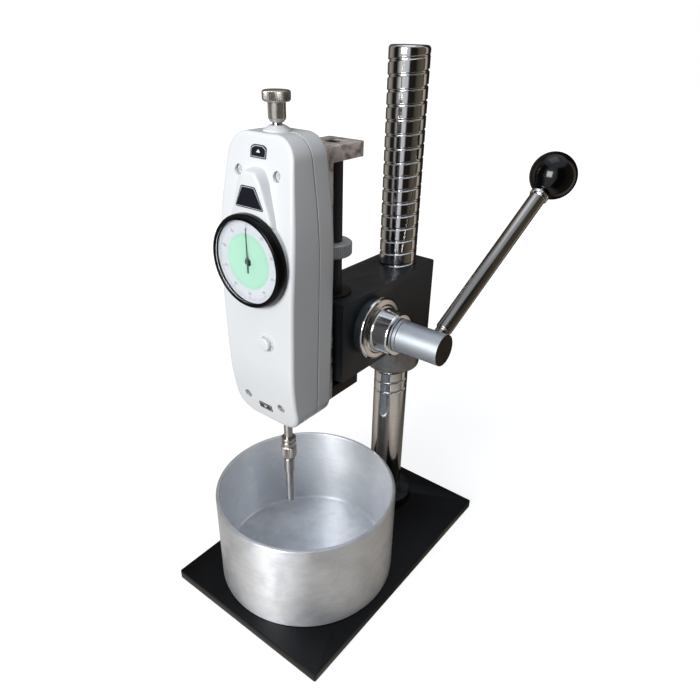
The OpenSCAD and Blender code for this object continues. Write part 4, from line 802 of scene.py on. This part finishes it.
# Printed foil: flat near-black and off-white ink with a satin sheen; its screen grain is drawn coarser than real
printed_foil = mottled("printed_foil_dark", ("#111219", "#1D1F28"), 0, 0.3, (0.9, 4), (0.01, 0.2))
pale_print = mottled("printed_foil_pale", ("#D2D6DE", "#E6E8EC"), 0, 0.35, (0.9, 4), (0.01, 0.2))
for label, y, lift, corner, nodes in (("keystone", -83.5, upright_face, 1.4, ("label_plate",)),
        ("pull", -83.32, leaning(356.6), 0.7, ("direction_plates",)), ("push", -83.32, leaning(187.4), 0.7, ())):
    for part, inset, rise, ink, bend in (("plate", 0, 0.3, printed_foil, 1), ("line", 0.6, 0.36, pale_print, 0.8),
            ("field", 0.85, 0.42, printed_foil, 0.7)):
        name = f"{label}_{part}"
        piece(name, foil(name, shrunk(PLATES[label], inset), y, lift, rise, corner * bend), ink, "carriage",
            "plate_dark", *(nodes if part == "plate" else ()))
for name, z, way in (("pull_arrow", 356.8, 1), ("push_arrow", 187.4, -1)):
    points = [(x, z + way * h) for x, h in ((-1.7, -0.8), (1.7, -0.8), (0, 1.0))]
    piece(name, foil(name, points, -83.7, leaning(z), 0.1, 0.02), pale_print, "carriage", "dial_white")

# ---- Bezel, dial, pointer and glass
# Moulded ring that turns on the boss with the dial and a flat glass. The printed dial is white with a mint green
# middle, fine marks round the edge and plain numbers; a thin dark pointer stands at the top.
BOSS_Y = -83.5
DIAL_R, GREEN_R, NUMBER_R, NUMBER_H = 25.9, 17.3, 20.3, 2.5
on_boss = (0, BOSS_Y, DIAL_Z)
# Moulded black ABS: even and black, with a soft gloss
bezel_plastic = mottled("moulded_black_abs", ("#060608", "#0E0E10"), 0, (0.17, 0.24), (18, 1), (0.02, 0.2),
    Specular_IOR_Level=0.12)
turned("moulded_bezel", [(23.5, -2.8), (24.9, -2.8), (24.9, 0.3), (29, 0.3), (29, 4.6, 1.4), (27.6, 6.8, 0.8),
    (26.2, 7.0, 0.4), (25.5, 6.2, 0.3), (26.1, 6.0), (26.1, 2.2), (23.5, 2.2)], on_boss,
    bezel_plastic, "bezel", "bezel_black", "bezel", axis="-Y", facets=160)

# Printed card: matte white and mint green, each a little uneven in tone
printed_dial, tree, shader, at = finish_of("printed_dial_card", "#F4F7FC", 0.0, 0.45)
apart = add(tree, "ShaderNodeVectorMath", {1: mm(0, -86, DIAL_Z)}, {0: at}, operation="SUBTRACT")
flat = add(tree, "ShaderNodeVectorMath", {1: (1, 0, 1)}, {0: apart}, operation="MULTIPLY")
reach = add(tree, "ShaderNodeVectorMath", links={0: flat}, operation="LENGTH")
inside = add(tree, "ShaderNodeMapRange", {1: mm(GREEN_R + 0.15), 2: mm(GREEN_R - 0.15)}, {0: reach.outputs["Value"]})
mottle = add(tree, "ShaderNodeTexNoise", {"Scale": per_mm(4), "Detail": 3}, {"Vector": at})
card = add(tree, "ShaderNodeMix", {6: "#E7ECF4", 7: "#EFF3F9"}, {0: mottle}, data_type="RGBA")
ink = add(tree, "ShaderNodeMix", {7: "#BFF1D8"}, {0: inside, 6: card.outputs[2]}, data_type="RGBA")
tree.links.new(ink.outputs[2], shader.inputs["Base Color"])
bump(shader, mottle, 0.01, 0.1)
turned("printed_dial", [(2.5, 2.2), (DIAL_R, 2.2), (DIAL_R, 3.0), (2.5, 3.0)], on_boss, printed_dial, "bezel",
    "dial_white", "dial_face", axis="-Y", facets=160, edge=0.1)


def dial_marks():
    """Fine marks: a hundred at the edge, every tenth longer, and fifty on the green middle's edge."""
    bm = bmesh.new()
    for count, outer, short, long, width in ((100, 24.0, 1.1, 2.2, 0.1), (50, 16.4, 0.8, 1.5, 0.09)):
        for k in range(count):
            length, half = (long, width * 1.5) if k % 10 == 0 else (short, width)
            spin = Matrix.Rotation(-2 * math.pi * k / count, 3, "Y")
            corners = [(-half, outer - length), (half, outer - length), (half, outer), (-half, outer)]
            stacked(bm, [[bm.verts.new(spin @ Vector(mm(x, 0, z)) + Vector(mm(0, BOSS_Y - rise, DIAL_Z)))
                for x, z in corners] for rise in (2.98, 3.03)])
    return finished(bm, "dial_marks")


# Printing ink: flat grey
dial_ink = mottled("printing_ink_grey", ("#7F8C90", "#929EA1"), 0, 0.5, (1.5, 3))
piece("dial_marks", dial_marks(), dial_ink, "bezel", "dial_white")
for k in range(10):
    figure = bpy.data.curves.new("dial_number", "FONT")
    figure.body, figure.size, figure.extrude = str(10 * k), mm(NUMBER_H), mm(0.02)
    figure.align_x = figure.align_y = "CENTER"
    mesh = taken(placed("dial_number", figure))
    angle = 2 * math.pi * k / 10
    middle = mm(NUMBER_R * math.sin(angle), BOSS_Y - 3.02, DIAL_Z + NUMBER_R * math.cos(angle))
    mesh.transform(Matrix.Translation(middle) @ Matrix.Rotation(math.pi / 2, 4, "X"))
    piece(f"dial_number_{k}", mesh, dial_ink, "bezel", "dial_white")

# Enamelled steel pointer: dark grey and smooth
pointer_enamel = mottled("enamelled_pointer", ("#53595C", "#676D70"), 0, 0.35, (1.2, 3), (0.01, 0.2))
blade = [(x, DIAL_Z + z, *r) for x, z, *r in (
    (-0.45, -7), (0.45, -7), (0.4, -2), (0.3, 4), (0.12, 20.5, 0.096), (-0.12, 20.5, 0.096), (-0.3, 4), (-0.4, -2))]
piece("pointer_blade", foil("pointer_blade", blade, BOSS_Y - 3.4, upright_face, 0.4, 0.1), pointer_enamel, "pointer",
    "pointer_black", "pointer")
turned("pointer_hub", [(0, 3.3), (1.6, 3.3), (1.6, 4.2), (0.9, 4.4), (0, 4.4)], on_boss, pointer_enamel, "pointer",
    "steel_plain", axis="-Y", facets=48, edge=0.2)
# Window glass: clear, with hardly any ripple
clear_glass, tree, shader, at = finish_of("cut_window_glass", "#FFFFFF", 0.0, 0.0, Transmission_Weight=1.0, IOR=1.45)
ripple = add(tree, "ShaderNodeTexNoise", {"Scale": per_mm(40)}, {"Vector": at})
bump(shader, ripple, 0.005, 0.05)
turned("flat_glass", [(0, 4.6), (26.05, 4.6), (26.05, 5.9), (0, 5.9)], on_boss, clear_glass, "bezel", "glass_clear",
    "dial_glass", axis="-Y", facets=160, edge=0.03)

# ---- Hold button
# Moulded button in a thin turned ring; it slides in against a small spring and holds the reading.
# Moulded white ABS: a shade greyer than the enamel, with a satin gloss
white_plastic = mottled("moulded_white_abs", ("#D5D7D9", "#E1E3E4"), 0, (0.28, 0.38), (4, 3))
at_button = (BUTTON_X, GAUGE["front"], BUTTON_Z)
turned("round_button", [(0, -18.8), (2, -18.8), (2, -9.8), (6, -9.8), (6, -8.8), (4.5, -8.8), (4.5, 3.5, 1.4),
    (0, 3.5)], at_button,
    white_plastic, "hold_button", "button_white", "hold_button", axis="-Y", facets=64, edge=0.2, steps=6)
turned("turned_button_ring", [(4.8, -1), (5.7, -1), (5.7, 0.6, 0.3), (4.8, 0.6, 0.2)], at_button, stoved_enamel,
    "carriage", "steel_plain", "button_ring", axis="-Y", facets=64, edge=0.1)

# ---- Plunger, hand nut, chuck and needle
# Shaft through the gauge. On top sits a nickel-plated hand nut with a knurled head; below hang a ring, a knurled
# chuck nut, the turned needle holder and the plain needle of 30 square millimetres.
AXIS = (0, GAUGE["y"], 0)
# Steel ground on centres: one soft bright line up the shaft
turned_steel = mottled("steel_ground_on_centres", ("#BCB9B6", "#D0CECC"), 1, (0.33, 0.4), (20, 0), (0.01, 0.12),
    Anisotropic=0.8, Anisotropic_Rotation=0.25)
turned("ground_plunger", [(0, 145.1), (3.2, 145.1), (3.2, 303.0), (2.9, 303.2), (2.9, 379.5), (0, 379.5)], AXIS,
    turned_steel, "plunger", "steel_plain", "plunger", facets=64, edge=0.2)
# Nickel plate on the knurl: warm, bright and a little cloudy
bright_nickel = mottled("nickel_plated_knurl", ("#AFA8A0", "#CBC6BF"), 0.85, (0.2, 0.28), (5, 3), (0.01, 0.15))
knurled(("hand_nut", "top_hand_nut"),
    [(2.98, 371), (3.9, 371), (5.2, 372.8, 1.2), (5.2, 381.6), (7.4, 382), (8.25, 383, 0.6), (8.25, 387.2, 0.8),
    (7.3, 388, 0.5), (0, 388), (0, 380.5), (2.98, 380.5)], AXIS, bright_nickel, "top_hand_nut", "nickel", 48,
    (382.6, 387.4), 7.9)
# Turned stainless steel: warm, with a softer line than the shaft's
chuck_steel = mottled("turned_stainless_chuck", ("#C0BAB4", "#D2CECA"), 1, (0.26, 0.34), (16, 0), (0.01, 0.15),
    Anisotropic=0.7, Anisotropic_Rotation=0.25)
turned("chuck_ring", [(0, 130.7), (3.5, 130.7), (3.5, 143.2), (5.4, 143.2), (5.4, 146.2, 0.4), (4.6, 146.6),
    (4.6, 147.6), (5.4, 148), (5.4, 149.6, 0.6), (4.8, 150.1), (3.25, 150.1), (3.25, 145), (0, 145)],
    AXIS, chuck_steel, "plunger", "stainless", "chuck_body", facets=64, edge=0.25)
knurled(("chuck_nut_knurled", "chuck_nut"),
    [(3.58, 132.6), (4.8, 132.6), (5.8, 133.8), (5.8, 141.9), (5.0, 142.9), (3.58, 142.9)], AXIS, chuck_steel,
    "chuck_nut", "stainless", 32, (133.4, 142.2), 5.4, edge=0.25)
turned("needle_socket", [(0, 118), (3.7, 118), (4, 118.6), (4, 130.2), (3.6, 130.7), (0, 130.7)], AXIS, turned_steel,
    "plunger", "stainless", "needle_holder", facets=64, edge=0.25)
turned("test_needle", [(0, 90), (3.09, 90, 0.15), (3.09, 118), (0, 118)], AXIS, turned_steel, "plunger", "steel_plain",
    "needle", facets=64, edge=0.2)
